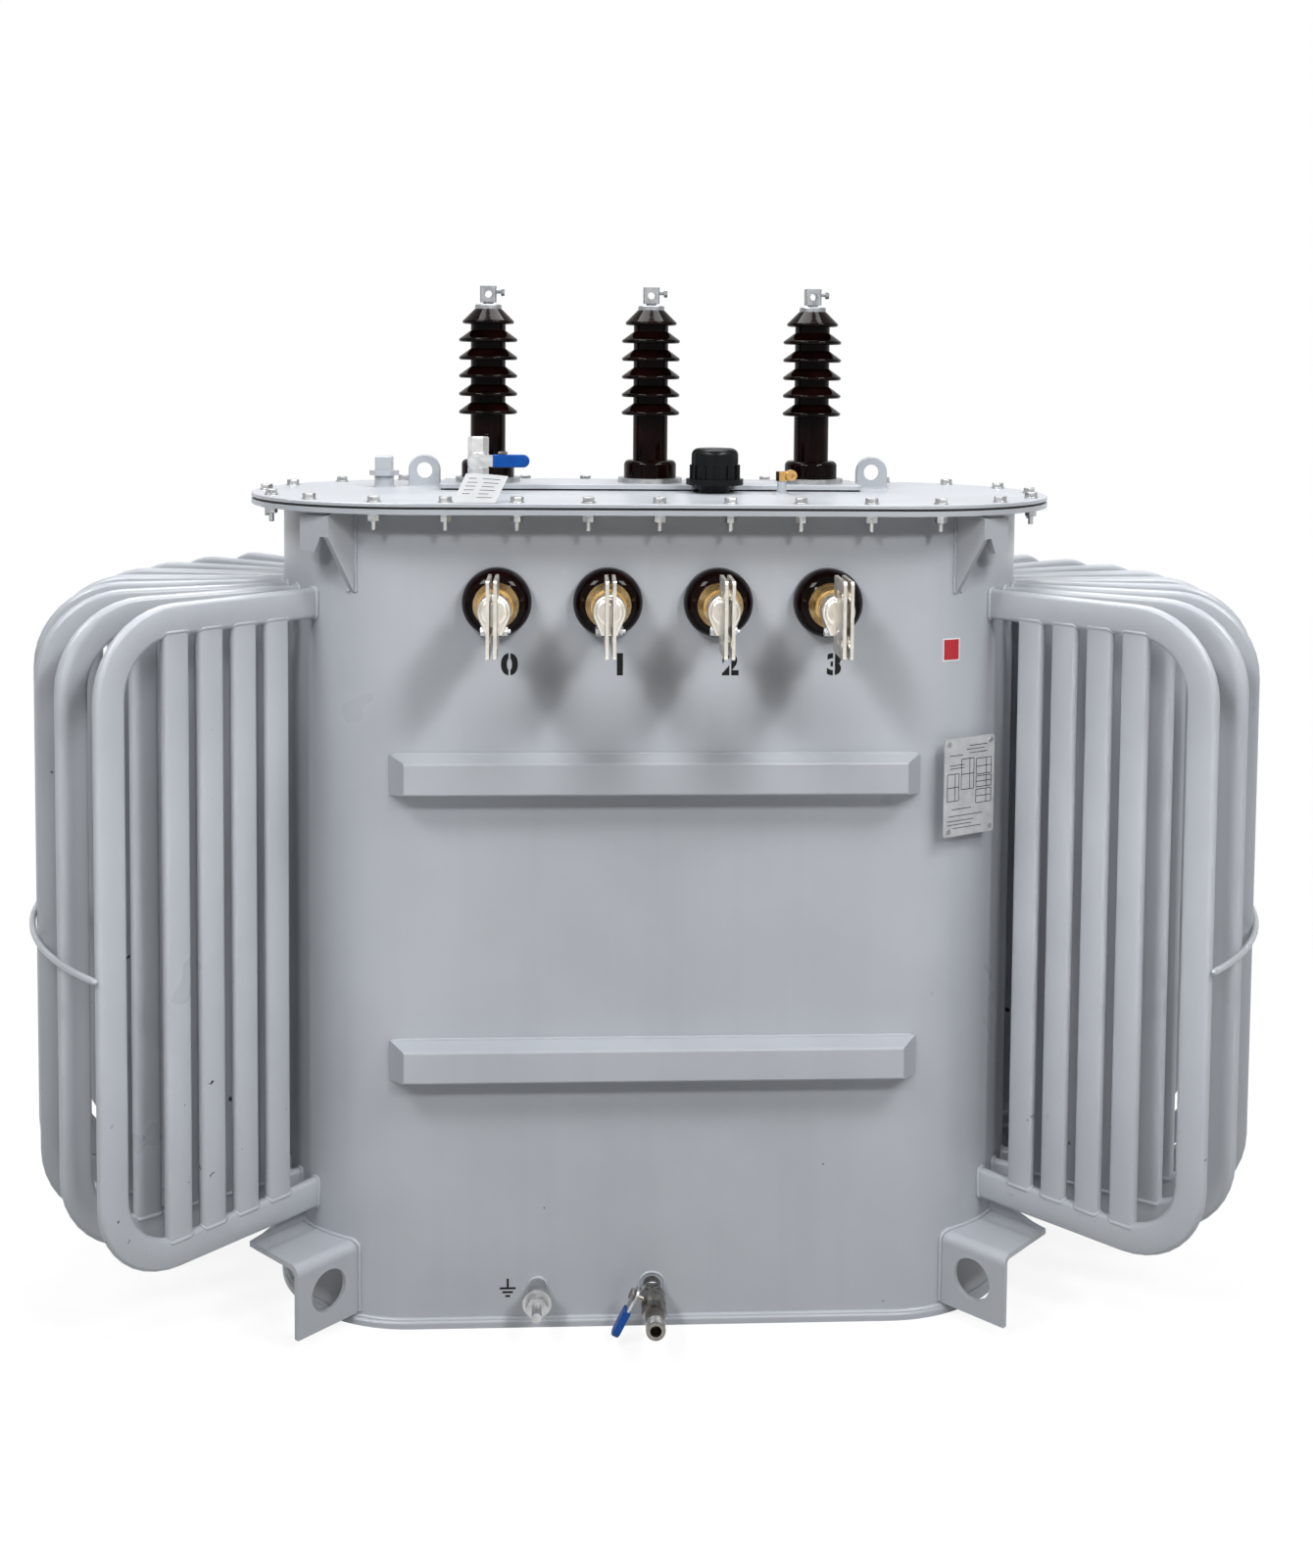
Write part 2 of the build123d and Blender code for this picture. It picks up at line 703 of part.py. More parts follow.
# Filler plug: a boss, a wide hexagon and a square head
plug_x = -eye_x - eye_half - plug_gap - plug_hex_r
with BuildPart() as filler_plug:
    with BuildSketch(Plane.XY.offset(cover_top)):
        with Locations((plug_x, plug_y)):
            Circle(plug_boss_r)
    extrude(amount=plug_boss)
    with BuildSketch(Plane.XY.offset(cover_top + plug_boss)):
        with Locations((plug_x, plug_y)):
            RegularPolygon(plug_hex_r, 6)
    extrude(amount=plug_hex)
    with BuildSketch(Plane.XY.offset(cover_top + plug_boss + plug_hex)):
        with Locations((plug_x, plug_y)):
            RectangleRounded(plug_head, plug_head, plug_corner)
    extrude(amount=plug_head_h)
    chamfer(filler_plug.faces().sort_by(Axis.Z)[-1].edges(), plug_edge)
save(filler_plug.part, "filler_plug")

# Tap changer cap: a neck, a rim and a ribbed bell with a domed crown
tap_y = hv_y - hv_pad_width / 2 - tap_neck_r - tap_clear
tap_rim_top = tap_neck + tap_rim
tap_shoulder = tap_neck + tap_cap - tap_crown / 2
tap_crown_z = tap_shoulder + tap_crown
with BuildPart() as tap_changer_cap:
    with BuildSketch(Plane(origin=(tap_x, tap_y, cover_top), x_dir=(1, 0, 0), z_dir=(0, -1, 0))):
        with BuildLine():
            Polyline((0, tap_crown_z), (0, 0), (tap_neck_r, 0), (tap_neck_r, tap_neck), (tap_rim_r, tap_neck))
            Polyline((tap_rim_r, tap_neck), (tap_rim_r, tap_rim_top), (tap_cap_r, tap_rim_top))
            Line((tap_cap_r, tap_rim_top), (tap_cap_r, tap_shoulder))
            TangentArc((tap_cap_r, tap_shoulder), (tap_crown_r, tap_crown_z), tangent=(0, 1))
            Line((tap_crown_r, tap_crown_z), (0, tap_crown_z))
        make_face()
    revolve(axis=Axis((tap_x, tap_y, 0), (0, 0, 1)))
    with BuildSketch(Plane(origin=(tap_x, tap_y, cover_top + tap_rim_top))):
        with PolarLocations(tap_cap_r, tap_rib_count):
            Rectangle(2 * tap_rib_out, tap_rib_width)
    extrude(amount=tap_rib)
save(tap_changer_cap.part, "tap_changer_cap")

# Relief fitting: a painted nipple on the cover and a brass elbow with an open end to the front
with BuildPart() as relief_nipple:
    with BuildSketch(Plane.XY.offset(cover_top)):
        with Locations((relief_x, relief_y)):
            Circle(relief_foot_r)
    extrude(amount=relief_foot)
    with BuildSketch(Plane.XY.offset(cover_top + relief_foot)):
        with Locations((relief_x, relief_y)):
            Circle(relief_pipe_r)
    extrude(amount=relief_pipe - relief_foot)
save(relief_nipple.part, "relief_nipple")

relief_z = cover_top + relief_pipe + relief_clear + relief_ball_r
relief_end = (relief_x + relief_arm, relief_y, relief_z)
with BuildPart() as relief_fitting:
    with BuildSketch(Plane.XY.offset(cover_top + relief_pipe)):
        with Locations((relief_x, relief_y)):
            RegularPolygon(relief_nut_r, 6)
    extrude(amount=relief_nut)
    with BuildSketch(Plane(origin=relief_end, z_dir=(-1, 0, 0))):
        Circle(relief_arm_r)
    extrude(amount=relief_arm)
    with BuildSketch(Plane(origin=relief_end, z_dir=(0, -1, 0))):
        Circle(relief_ball_r)
    extrude(amount=relief_ball, both=True)
    with BuildSketch(Plane(origin=relief_end, z_dir=(0, -1, 0)).offset(relief_ball)):
        Circle(relief_bore_r)
    extrude(amount=-relief_ball, mode=Mode.SUBTRACT)
save(relief_fitting.part, "relief_fitting")

# Upper ball valve: a pipe, two hexagon ends and a round belly; the stem faces the front
stem_plane = Plane(origin=(valve_x, valve_y, valve_centre), x_dir=(1, 0, 0), z_dir=(0, -1, 0))
lever_off = valve_r + lever_clear
with BuildPart() as upper_valve_body:
    with BuildSketch(Plane.XY.offset(cover_top)):
        with Locations((valve_x, valve_y)):
            Circle(valve_pipe_r)
    extrude(amount=valve_rise)
    with BuildSketch(stem_plane):
        with BuildLine():
            Polyline((valve_r, valve_half), (0, valve_half), (0, -valve_half), (valve_r, -valve_half))
            ThreePointArc((valve_r, -valve_half), (valve_belly_r, 0), (valve_r, valve_half))
        make_face()
    revolve(axis=Axis((valve_x, valve_y, 0), (0, 0, 1)))
    for start, height in ((-valve_half - valve_low_hex, valve_low_hex), (valve_half, valve_top_hex)):
        with BuildSketch(Plane.XY.offset(valve_centre + start)):
            with Locations((valve_x, valve_y)):
                RegularPolygon(valve_hex_r, 6)
        extrude(amount=height)
    chamfer(upper_valve_body.faces().sort_by(Axis.Z)[-1].edges(), valve_edge)
    with BuildSketch(stem_plane):
        Circle(stem_r)
    extrude(amount=lever_off + lever_thick + stem_past)
    with BuildSketch(stem_plane.offset(lever_off + lever_thick + stem_clear)):
        RegularPolygon(stem_nut_r, 6)
    extrude(amount=stem_nut)
save(upper_valve_body.part, "upper_valve_body")

# Drain valve: the pipe leaves the front wall, the stem leans left
drain_mid = (drain_x, -tank_radius - drain_root - drain_body / 2, drain_z)
drain_turn = radians(drain_lean)
drain_stem = Plane(
    origin=drain_mid,
    x_dir=(-sin(drain_turn), 0, -cos(drain_turn)),
    z_dir=(-cos(drain_turn), 0, sin(drain_turn)),
)
drain_axis = Plane(origin=(drain_x, -tank_radius, drain_z), x_dir=(1, 0, 0), z_dir=(0, 0, 1))
drain_lever_off = drain_belly_r + lever_clear
drain_end = drain_root + drain_body
spout_end = drain_end + drain_spout
with BuildPart() as drain_valve_body:
    with BuildSketch(drain_axis):
        with BuildLine():
            Polyline((0, 0), (drain_pipe_r, 0), (drain_pipe_r, -drain_root), (drain_waist_r, -drain_root))
            Line((drain_waist_r, -drain_root), (drain_waist_r, -drain_root - drain_hex))
            ThreePointArc(
                (drain_waist_r, -drain_root - drain_hex),
                (drain_belly_r, -drain_root - drain_body / 2),
                (drain_waist_r, -drain_end + drain_hex),
            )
            Line((drain_waist_r, -drain_end + drain_hex), (drain_waist_r, -drain_end))
            Polyline((drain_waist_r, -drain_end), (drain_pipe_r, -drain_end), (drain_pipe_r, -spout_end))
            Polyline((drain_pipe_r, -spout_end), (0, -spout_end), (0, 0))
        make_face()
    revolve(axis=Axis(drain_axis.origin, (0, 1, 0)))
    for start in (drain_root, drain_end - drain_hex):
        with BuildSketch(front.offset(start)):
            with Locations((drain_x, drain_z)):
                RegularPolygon(drain_hex_r, 6)
        extrude(amount=drain_hex)
    with BuildSketch(front.offset(drain_end)):
        with Locations((drain_x, drain_z)):
            Circle(drain_bore_r)
    extrude(amount=drain_spout, mode=Mode.SUBTRACT)
    with BuildSketch(drain_stem):
        Circle(stem_r)
    extrude(amount=drain_lever_off + lever_thick + stem_past)
    with BuildSketch(drain_stem.offset(drain_lever_off + lever_thick + stem_clear)):
        RegularPolygon(stem_nut_r, 6)
    extrude(amount=stem_nut)
save(drain_valve_body.part, "drain_valve_body")

# Valve levers: a flat strap on the stem and a dipped grip on its end
levers = {
    "upper_valve": (stem_plane.offset(lever_off), lever_length),
    "drain_valve": (drain_stem.offset(drain_lever_off), drain_lever_length),
}
for name, (plane, length) in levers.items():
    with BuildPart() as lever:
        with BuildSketch(plane):
            Circle(lever_eye_r)
            with Locations((grip_start / 2, 0)):
                Rectangle(grip_start, lever_width)
            Circle(stem_r + stem_clear, mode=Mode.SUBTRACT)
        extrude(amount=lever_thick)
    save(lever.part, name + "_lever")
    grip_end = length - grip_height / 2
    with BuildPart() as grip:
        with BuildSketch(plane.offset(lever_thick / 2)):
            with Locations(((grip_start + grip_end) / 2, 0)):
                Rectangle(grip_end - grip_start, grip_height)
            with Locations((grip_end, 0)):
                Circle(grip_height / 2)
        extrude(amount=grip_half, both=True)
        flats = grip.faces().sort_by(Axis(plane.origin, plane.z_dir))
        fillet((flats[0].edges() + flats[-1].edges()), grip_edge)
    save(grip.part, name + "_grip")

# Earth terminal: a boss, a washer, a nut and the stud's end
washer_end = earth_boss + earth_washer
with BuildPart() as earth_terminal:
    for radius, start, depth in (
        (earth_boss_r, 0, earth_boss),
        (earth_washer_r, earth_boss, earth_washer),
        (earth_stud_r, washer_end, earth_stud),
    ):
        with BuildSketch(front.offset(start)):
            with Locations((earth_x, earth_z)):
                Circle(radius)
        extrude(amount=depth)
    with BuildSketch(front.offset(washer_end)):
        with Locations((earth_x, earth_z)):
            RegularPolygon(earth_nut_r, 6)
    extrude(amount=earth_nut)
save(earth_terminal.part, "earth_terminal")

# Nameplate on a bracket bent from sheet, trimmed to the right end of the tank
tilt = radians(plate_angle)
plate_off = tank_radius + plate_stand
plate_origin = (straight_half + plate_off * sin(tilt), -plate_off * cos(tilt), plate_z)
plate_plane = Plane(origin=plate_origin, x_dir=(cos(tilt), sin(tilt), 0), z_dir=(sin(tilt), -cos(tilt), 0))
with BuildPart() as nameplate_bracket:
    with BuildSketch(plate_plane):
        Rectangle(bracket_width, bracket_height)
    extrude(amount=-bracket_leg)
    with BuildSketch(plate_plane.offset(-bracket_thick)):
        Rectangle(bracket_width - 2 * bracket_thick, bracket_height)
    extrude(amount=-bracket_leg, mode=Mode.SUBTRACT)
    with BuildSketch(Plane(origin=(straight_half, 0, plate_z - plate_height))):
        Circle(tank_radius)
    extrude(amount=2 * plate_height, mode=Mode.SUBTRACT)
save(nameplate_bracket.part, "nameplate_bracket")

with BuildPart() as nameplate:
    with BuildSketch(plate_plane):
        RectangleRounded(plate_width, plate_height, plate_corner)
    extrude(amount=plate_thick)
save(nameplate.part, "nameplate")
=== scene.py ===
import json
import math

import bpy
from mathutils import Matrix, Vector


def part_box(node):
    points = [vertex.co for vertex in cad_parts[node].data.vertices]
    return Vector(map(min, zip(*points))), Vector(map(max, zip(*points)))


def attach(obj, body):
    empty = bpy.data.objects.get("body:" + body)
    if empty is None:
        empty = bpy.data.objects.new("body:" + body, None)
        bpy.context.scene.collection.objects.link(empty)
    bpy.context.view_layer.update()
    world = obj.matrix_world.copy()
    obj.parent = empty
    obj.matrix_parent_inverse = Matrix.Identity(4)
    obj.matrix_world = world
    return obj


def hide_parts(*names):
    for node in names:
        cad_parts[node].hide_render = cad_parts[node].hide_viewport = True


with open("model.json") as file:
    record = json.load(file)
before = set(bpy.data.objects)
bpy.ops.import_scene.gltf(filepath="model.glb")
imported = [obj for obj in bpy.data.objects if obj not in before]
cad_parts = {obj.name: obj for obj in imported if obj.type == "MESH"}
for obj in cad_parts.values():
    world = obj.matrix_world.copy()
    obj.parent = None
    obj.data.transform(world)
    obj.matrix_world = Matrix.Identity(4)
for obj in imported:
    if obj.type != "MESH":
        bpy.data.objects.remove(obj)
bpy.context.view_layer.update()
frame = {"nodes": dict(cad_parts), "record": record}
print("frame loaded:", len(frame["nodes"]), "nodes")

# sizes read from the frame, in metres
wallLow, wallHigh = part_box("tank_front_wall")
tank = {
    "straight": wallHigh.x,                  # half of each flat side
    "radius": -wallLow.y,                    # of the half round ends
    "coverTop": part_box("cover_plate")[1].z,
    "flangeUnder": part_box("top_flange")[0].z,
    "rimTop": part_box("tank_bottom")[1].z,
}


# colours are written as sRGB and turned to linear here
def linear(code):
    parts = [int(code[i:i + 2], 16) / 255 for i in (1, 3, 5)]
    return [p / 12.92 if p <= 0.04045 else ((p + 0.055) / 1.055) ** 2.4 for p in parts] + [1.0]


# one node with its settings, and its inputs as values or as sockets to link
def addNode(tree, kind, settings=None, inputs=None):
    node = tree.nodes.new(kind)
    for key, value in (settings or {}).items():
        setattr(node, key, value)
    for key, value in (inputs or {}).items():
        if isinstance(value, bpy.types.NodeSocket):
            tree.links.new(value, node.inputs[key])
        else:
            node.inputs[key].default_value = value
    return node


def newFinish(name):
    material = bpy.data.materials.new(name)
    material.use_nodes = True
    tree = material.node_tree
    return material, tree, tree.nodes["Principled BSDF"], addNode(tree, "ShaderNodeTexCoord").outputs["Object"]


# Alkyd enamel, sprayed over primer: even light grey, soft gloss, faint orange peel,
# long run marks, and small chips down to the dark primer
def enamelPaint(name, base, light, dark, chipLevel):
    material, tree, shader, place = newFinish(name)
    mottle = addNode(tree, "ShaderNodeTexNoise", None, {"Vector": place, "Scale": 1 / 0.22, "Detail": 3.0})
    cloud = addNode(tree, "ShaderNodeMapRange", None,
                    {"Value": mottle.outputs["Fac"], "From Min": 0.35, "From Max": 0.65})
    # run marks 35 mm wide and 900 mm long
    stretch = addNode(tree, "ShaderNodeMapping", None,
                      {"Vector": place, "Scale": (1 / 0.035, 1 / 0.035, 1 / 0.9)})
    runs = addNode(tree, "ShaderNodeTexNoise", None,
                   {"Vector": stretch.outputs["Vector"], "Scale": 1.0, "Detail": 2.0})
    runShade = addNode(tree, "ShaderNodeMapRange", None,
                       {"Value": runs.outputs["Fac"], "From Min": 0.5, "From Max": 0.72, "To Max": 0.12})
    body = addNode(tree, "ShaderNodeMix", {"data_type": "RGBA"},
                   {"Factor": cloud.outputs["Result"], "A": linear(base), "B": linear(light)})
    streaked = addNode(tree, "ShaderNodeMix", {"data_type": "RGBA"},
                       {"Factor": runShade.outputs["Result"], "A": body.outputs["Result"], "B": linear(dark)})
    # chips of about 6 mm, more of them near the ground
    speck = addNode(tree, "ShaderNodeTexNoise", None, {"Vector": place, "Scale": 1 / 0.021, "Detail": 4.0})
    patch = addNode(tree, "ShaderNodeTexNoise", None, {"Vector": place, "Scale": 1 / 0.16, "Detail": 1.0})
    height = addNode(tree, "ShaderNodeSeparateXYZ", None, {"Vector": place})
    low = addNode(tree, "ShaderNodeMapRange", None,
                  {"Value": height.outputs["Z"], "From Min": 0.05, "From Max": 0.75,
                   "To Min": chipLevel, "To Max": chipLevel + 0.07})
    gate = addNode(tree, "ShaderNodeMapRange", None,
                   {"Value": patch.outputs["Fac"], "From Min": 0.5, "From Max": 0.62})
    over = addNode(tree, "ShaderNodeMath", {"operation": "SUBTRACT"},
                   {0: speck.outputs["Fac"], 1: low.outputs["Result"]})
    edge = addNode(tree, "ShaderNodeMapRange", None,
                   {"Value": over.outputs["Value"], "From Min": 0.0, "From Max": 0.012})
    chip = addNode(tree, "ShaderNodeMath", {"operation": "MULTIPLY"},
                   {0: edge.outputs["Result"], 1: gate.outputs["Result"]})
    colour = addNode(tree, "ShaderNodeMix", {"data_type": "RGBA"},
                     {"Factor": chip.outputs["Value"], "A": streaked.outputs["Result"], "B": linear("#1D1F22")})
    gloss = addNode(tree, "ShaderNodeMapRange", None,
                    {"Value": mottle.outputs["Fac"], "From Min": 0.3, "From Max": 0.7,
                     "To Min": 0.27, "To Max": 0.38})
    # orange peel of 5 mm, a tenth of a millimetre deep
    peel = addNode(tree, "ShaderNodeTexNoise", None, {"Vector": place, "Scale": 1 / 0.005, "Detail": 1.0})
    bump = addNode(tree, "ShaderNodeBump", None,
                   {"Height": peel.outputs["Fac"], "Strength": 0.12, "Distance": 0.0008})
    for socket, output in (("Base Color", colour.outputs["Result"]), ("Roughness", gloss.outputs["Result"]),
                           ("Normal", bump.outputs["Normal"])):
        tree.links.new(output, shader.inputs[socket])
    return material


# Moulded nitrile rubber: near black, dull, with a fine powdery bloom
def nitrileRubber():
    material, tree, shader, place = newFinish("nitrileRubber")
    bloom = addNode(tree, "ShaderNodeTexNoise", None, {"Vector": place, "Scale": 1 / 0.03, "Detail": 4.0})
    colour = addNode(tree, "ShaderNodeMix", {"data_type": "RGBA"},
                     {"Factor": bloom.outputs["Fac"], "A": linear("#141415"), "B": linear("#2B2B2D")})
    tree.links.new(colour.outputs["Result"], shader.inputs["Base Color"])
    shader.inputs["Roughness"].default_value = 0.7
    return material


# Fired porcelain under a dark brown glaze: glassy, thinner and redder where it ran
def brownGlaze():
    material, tree, shader, place = newFinish("brownGlazedPorcelain")
    pool = addNode(tree, "ShaderNodeTexNoise", None, {"Vector": place, "Scale": 1 / 0.05, "Detail": 3.0})
    depth = addNode(tree, "ShaderNodeMapRange", None,
                    {"Value": pool.outputs["Fac"], "From Min": 0.35, "From Max": 0.7})
    colour = addNode(tree, "ShaderNodeMix", {"data_type": "RGBA"},
                     {"Factor": depth.outputs["Result"], "A": linear("#070202"), "B": linear("#150706")})
    ripple = addNode(tree, "ShaderNodeTexNoise", None, {"Vector": place, "Scale": 1 / 0.03, "Detail": 0.0})
    bump = addNode(tree, "ShaderNodeBump", None,
                   {"Height": ripple.outputs["Fac"], "Strength": 0.03, "Distance": 0.0008})
    tree.links.new(colour.outputs["Result"], shader.inputs["Base Color"])
    tree.links.new(bump.outputs["Normal"], shader.inputs["Normal"])
    shader.inputs["Roughness"].default_value = 0.06
    shader.inputs["Specular IOR Level"].default_value = 0.09
    return material


# A bare or plated metal: fine grain along one way, cloudy tarnish, uneven gloss
def plainMetal(name, bright, dull, grain, roughLow, roughHigh):
    material, tree, shader, place = newFinish(name)
    tarnish = addNode(tree, "ShaderNodeTexNoise", None, {"Vector": place, "Scale": 1 / 0.018, "Detail": 5.0})
    spread = addNode(tree, "ShaderNodeMapRange", None,
                     {"Value": tarnish.outputs["Fac"], "From Min": 0.35, "From Max": 0.68})
    colour = addNode(tree, "ShaderNodeMix", {"data_type": "RGBA"},
                     {"Factor": spread.outputs["Result"], "A": linear(bright), "B": linear(dull)})
    along = addNode(tree, "ShaderNodeMapping", None, {"Vector": place, "Scale": grain})
    scratch = addNode(tree, "ShaderNodeTexNoise", None,
                      {"Vector": along.outputs["Vector"], "Scale": 1.0, "Detail": 2.0})
    rough = addNode(tree, "ShaderNodeMapRange", None,
                    {"Value": scratch.outputs["Fac"], "From Min": 0.3, "From Max": 0.7,
                     "To Min": roughLow, "To Max": roughHigh})
    bump = addNode(tree, "ShaderNodeBump", None,
                   {"Height": scratch.outputs["Fac"], "Strength": 0.02, "Distance": 0.0003})
    for socket, output in (("Base Color", colour.outputs["Result"]), ("Roughness", rough.outputs["Result"]),
                           ("Normal", bump.outputs["Normal"])):
        tree.links.new(output, shader.inputs[socket])
    shader.inputs["Metallic"].default_value = 1.0
    return material


# Moulded plastic, dipped vinyl and printed card: one pigment, a little uneven, with a skin texture
def pigmentSkin(name, deep, pale, roughness, skin, skinDepth, shine=0.5):
    material, tree, shader, place = newFinish(name)
    uneven = addNode(tree, "ShaderNodeTexNoise", None, {"Vector": place, "Scale": 1 / 0.02, "Detail": 3.0})
    colour = addNode(tree, "ShaderNodeMix", {"data_type": "RGBA"},
                     {"Factor": uneven.outputs["Fac"], "A": linear(deep), "B": linear(pale)})
    pores = addNode(tree, "ShaderNodeTexNoise", None, {"Vector": place, "Scale": 1 / skin, "Detail": 2.0})
    bump = addNode(tree, "ShaderNodeBump", None,
                   {"Height": pores.outputs["Fac"], "Strength": 0.2, "Distance": skinDepth})
    tree.links.new(colour.outputs["Result"], shader.inputs["Base Color"])
    tree.links.new(bump.outputs["Normal"], shader.inputs["Normal"])
    shader.inputs["Roughness"].default_value = roughness
    shader.inputs["Specular IOR Level"].default_value = shine
    return material


enamelTints = ("#A4A8AE", "#AAAEB4", "#979BA2")
finishes = {
    "tank_paint": enamelPaint("greyAlkydEnamel", *enamelTints, 0.735),
    "gasket_rubber": nitrileRubber(),
    "porcelain": brownGlaze(),
    "zinc_steel": plainMetal("zincPlatedSteel", "#C4C5C5", "#A4A6A7", (90, 90, 300), 0.3, 0.44),
    "tinned_brass": plainMetal("tinnedBrass", "#EAE6DE", "#D9D3C8", (160, 60, 60), 0.26, 0.36),
    "brass": plainMetal("turnedBrass", "#F6D190", "#DFB066", (60, 400, 60), 0.2, 0.34),
    "cap_plastic": pigmentSkin("blackNylon", "#08090A", "#121315", 0.32, 0.0015, 0.0002, 0.16),
    "grip_vinyl": pigmentSkin("blueDippedVinyl", "#04397C", "#0A4C9E", 0.3, 0.002, 0.0002, 0.25),
    "plate_steel": plainMetal("etchedStainless", "#CFD0D0", "#C0C2C3", (60, 60, 1200), 0.5, 0.66),
}
tubePaint = enamelPaint("chippedAlkydEnamel", *enamelTints, 0.665)   # the tubes get more knocks than the walls
stencilInk = pigmentSkin("blackStencilPaint", "#050506", "#0C0C0D", 0.5, 0.003, 0.0002, 0.2)
printInk = pigmentSkin("greyPrintInk", "#63666A", "#74777B", 0.6, 0.001, 0.0001)
tagCard = pigmentSkin("whiteCard", "#B6B8BB", "#C0C2C5", 0.6, 0.001, 0.0001)
tapeFilm = pigmentSkin("whiteSealingTape", "#DADCDD", "#ECEDEE", 0.5, 0.001, 0.0001)
darkSteel = plainMetal("oiledSteel", "#9C9893", "#66625E", (120, 60, 120), 0.24, 0.4)
castAlloy = plainMetal("castAluminium", "#A9ABAD", "#94969A", (60, 60, 60), 0.36, 0.5)
nickelPlate = plainMetal("nickelPlate", "#F4F4F3", "#E6E6E4", (60, 60, 120), 0.3, 0.42)
redVinyl = pigmentSkin("redStickerVinyl", "#A01C24", "#AE262E", 0.35, 0.002, 0.0001)
backingFilm = pigmentSkin("whiteStickerBacking", "#D2D3D5", "#DDDEE0", 0.45, 0.002, 0.0001)

for material in frame["record"]["materials"]:
    print("slot", material["slot"], "gets", finishes[material["slot"]].name)
for node in frame["nodes"].values():
    for used in node.material_slots:
        used.material = finishes[used.material.name.split(".")[0]]
for name, finish in (("drain_valve_body", darkSteel), ("upper_valve_body", nickelPlate),
                     ("upper_valve_lever", nickelPlate), ("hv_terminals", castAlloy)):
    frame["nodes"][name].material_slots[0].material = finish


# small modelling helpers
def deselect():
    if bpy.context.object and bpy.context.object.mode != "OBJECT":
        bpy.ops.object.mode_set(mode="OBJECT")
    bpy.ops.object.select_all(action="DESELECT")


def pick(piece):
    deselect()
    piece.select_set(True)
    bpy.context.view_layer.objects.active = piece


def selectFaces(piece, wanted):
    pick(piece)
    bpy.context.tool_settings.mesh_select_mode = (False, False, True)
    for part in (piece.data.vertices, piece.data.edges):
        for item in part:
            item.select = False
    for face in piece.data.polygons:
        face.select = wanted(face.center, face.normal)
    bpy.ops.object.mode_set(mode="EDIT")


def settle(piece):
    pick(piece)
    bpy.ops.object.transform_apply(location=True, rotation=True, scale=True)
    return piece


def joinPieces(pieces, name):
    deselect()
    for piece in pieces:
        piece.select_set(True)
    bpy.context.view_layer.objects.active = pieces[0]
    if len(pieces) > 1:
        bpy.ops.object.join()
    joined = bpy.context.object
    joined.name = name
    joined.data.name = name
    return settle(joined)


def copyTo(master, places, name):
    copies = []
    for place in places:
        copy = master.copy()
        copy.data = master.data.copy()
        copy.data.transform(place)
        if place.determinant() < 0:
            copy.data.flip_normals()
        bpy.context.scene.collection.objects.link(copy)
        copies.append(copy)
    bpy.data.objects.remove(master)
    return joinPieces(copies, name)


def finishPiece(piece, material, body="transformer", angle=40):
    pick(piece)
    piece.data.materials.clear()
    piece.data.materials.append(material)
    bpy.ops.object.shade_smooth_by_angle(angle=math.radians(angle))
    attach(piece, body)
    print("made", piece.name, len(piece.data.polygons), "faces")
    return piece


def applyModifier(piece, kind, settings):
    pick(piece)
    modifier = piece.modifiers.new(kind.lower(), kind)
    for key, value in settings.items():
        setattr(modifier, key, value)
    bpy.ops.object.modifier_apply(modifier=modifier.name)


# a hexagon with a chamfered top, standing on the ground plane at z
def hexagon(acrossFlats, height, chamfer, base=0.0):
    deselect()
    bpy.ops.mesh.primitive_cylinder_add(vertices=6, radius=acrossFlats / math.sqrt(3), depth=height,
                                        location=(0, 0, base + height / 2))
    piece = settle(bpy.context.object)
    selectFaces(piece, lambda centre, normal: normal.z > 0.9)
    bpy.ops.mesh.bevel(offset=chamfer, segments=2)
    return piece


# a disc or short rod with its top edge rounded
def roundRod(radius, height, chamfer, base=0.0, sides=20):
    deselect()
    bpy.ops.mesh.primitive_cylinder_add(vertices=sides, radius=radius, depth=height,
                                        location=(0, 0, base + height / 2))
    piece = settle(bpy.context.object)
    selectFaces(piece, lambda centre, normal: normal.z > 0.9)
    bpy.ops.mesh.bevel(offset=chamfer, segments=2)
    return piece


# Cover bolts: nine along each flat side, five more round each end
coverBolts = {
    "pitch": 0.112, "each side": 4, "outside wall": 0.0315, "end steps": 6,
    "head": 0.018, "head height": 0.0075, "washer": 0.0115, "washer thick": 0.0022,
    "nut": 0.017, "nut height": 0.010, "stud": 0.0042, "stud length": 0.026,
    "edge": 0.0009, "washer edge": 0.0006, "stud edge": 0.0008, "stud sides": 12,
    "head twist": 0.7, "nut twist": 0.9,     # radians from each bolt to the next
    "lug from": 30, "lug to": 50,            # degrees from the front, where a lug takes the nut's place
}


def boltPlaces():
    ring = tank["radius"] + coverBolts["outside wall"]
    places = []
    last = coverBolts["each side"] * coverBolts["pitch"]
    start = math.degrees(math.asin((last - tank["straight"]) / ring))
    step = (180 - 2 * start) / coverBolts["end steps"]
    for i in range(-coverBolts["each side"], coverBolts["each side"] + 1):
        x = i * coverBolts["pitch"]
        past = max(0.0, abs(x) - tank["straight"])
        places.append((x, -math.sqrt(ring ** 2 - past ** 2), 0.0))
        places.append((x, math.sqrt(ring ** 2 - past ** 2), 0.0))
    for i in range(1, coverBolts["end steps"]):
        turn = math.radians(start + i * step)
        x = tank["straight"] + ring * math.sin(turn)
        lean = min(start + i * step, 180 - start - i * step)
        places.append((x, -ring * math.cos(turn), lean))
        places.append((-x, -ring * math.cos(turn), lean))
    return places


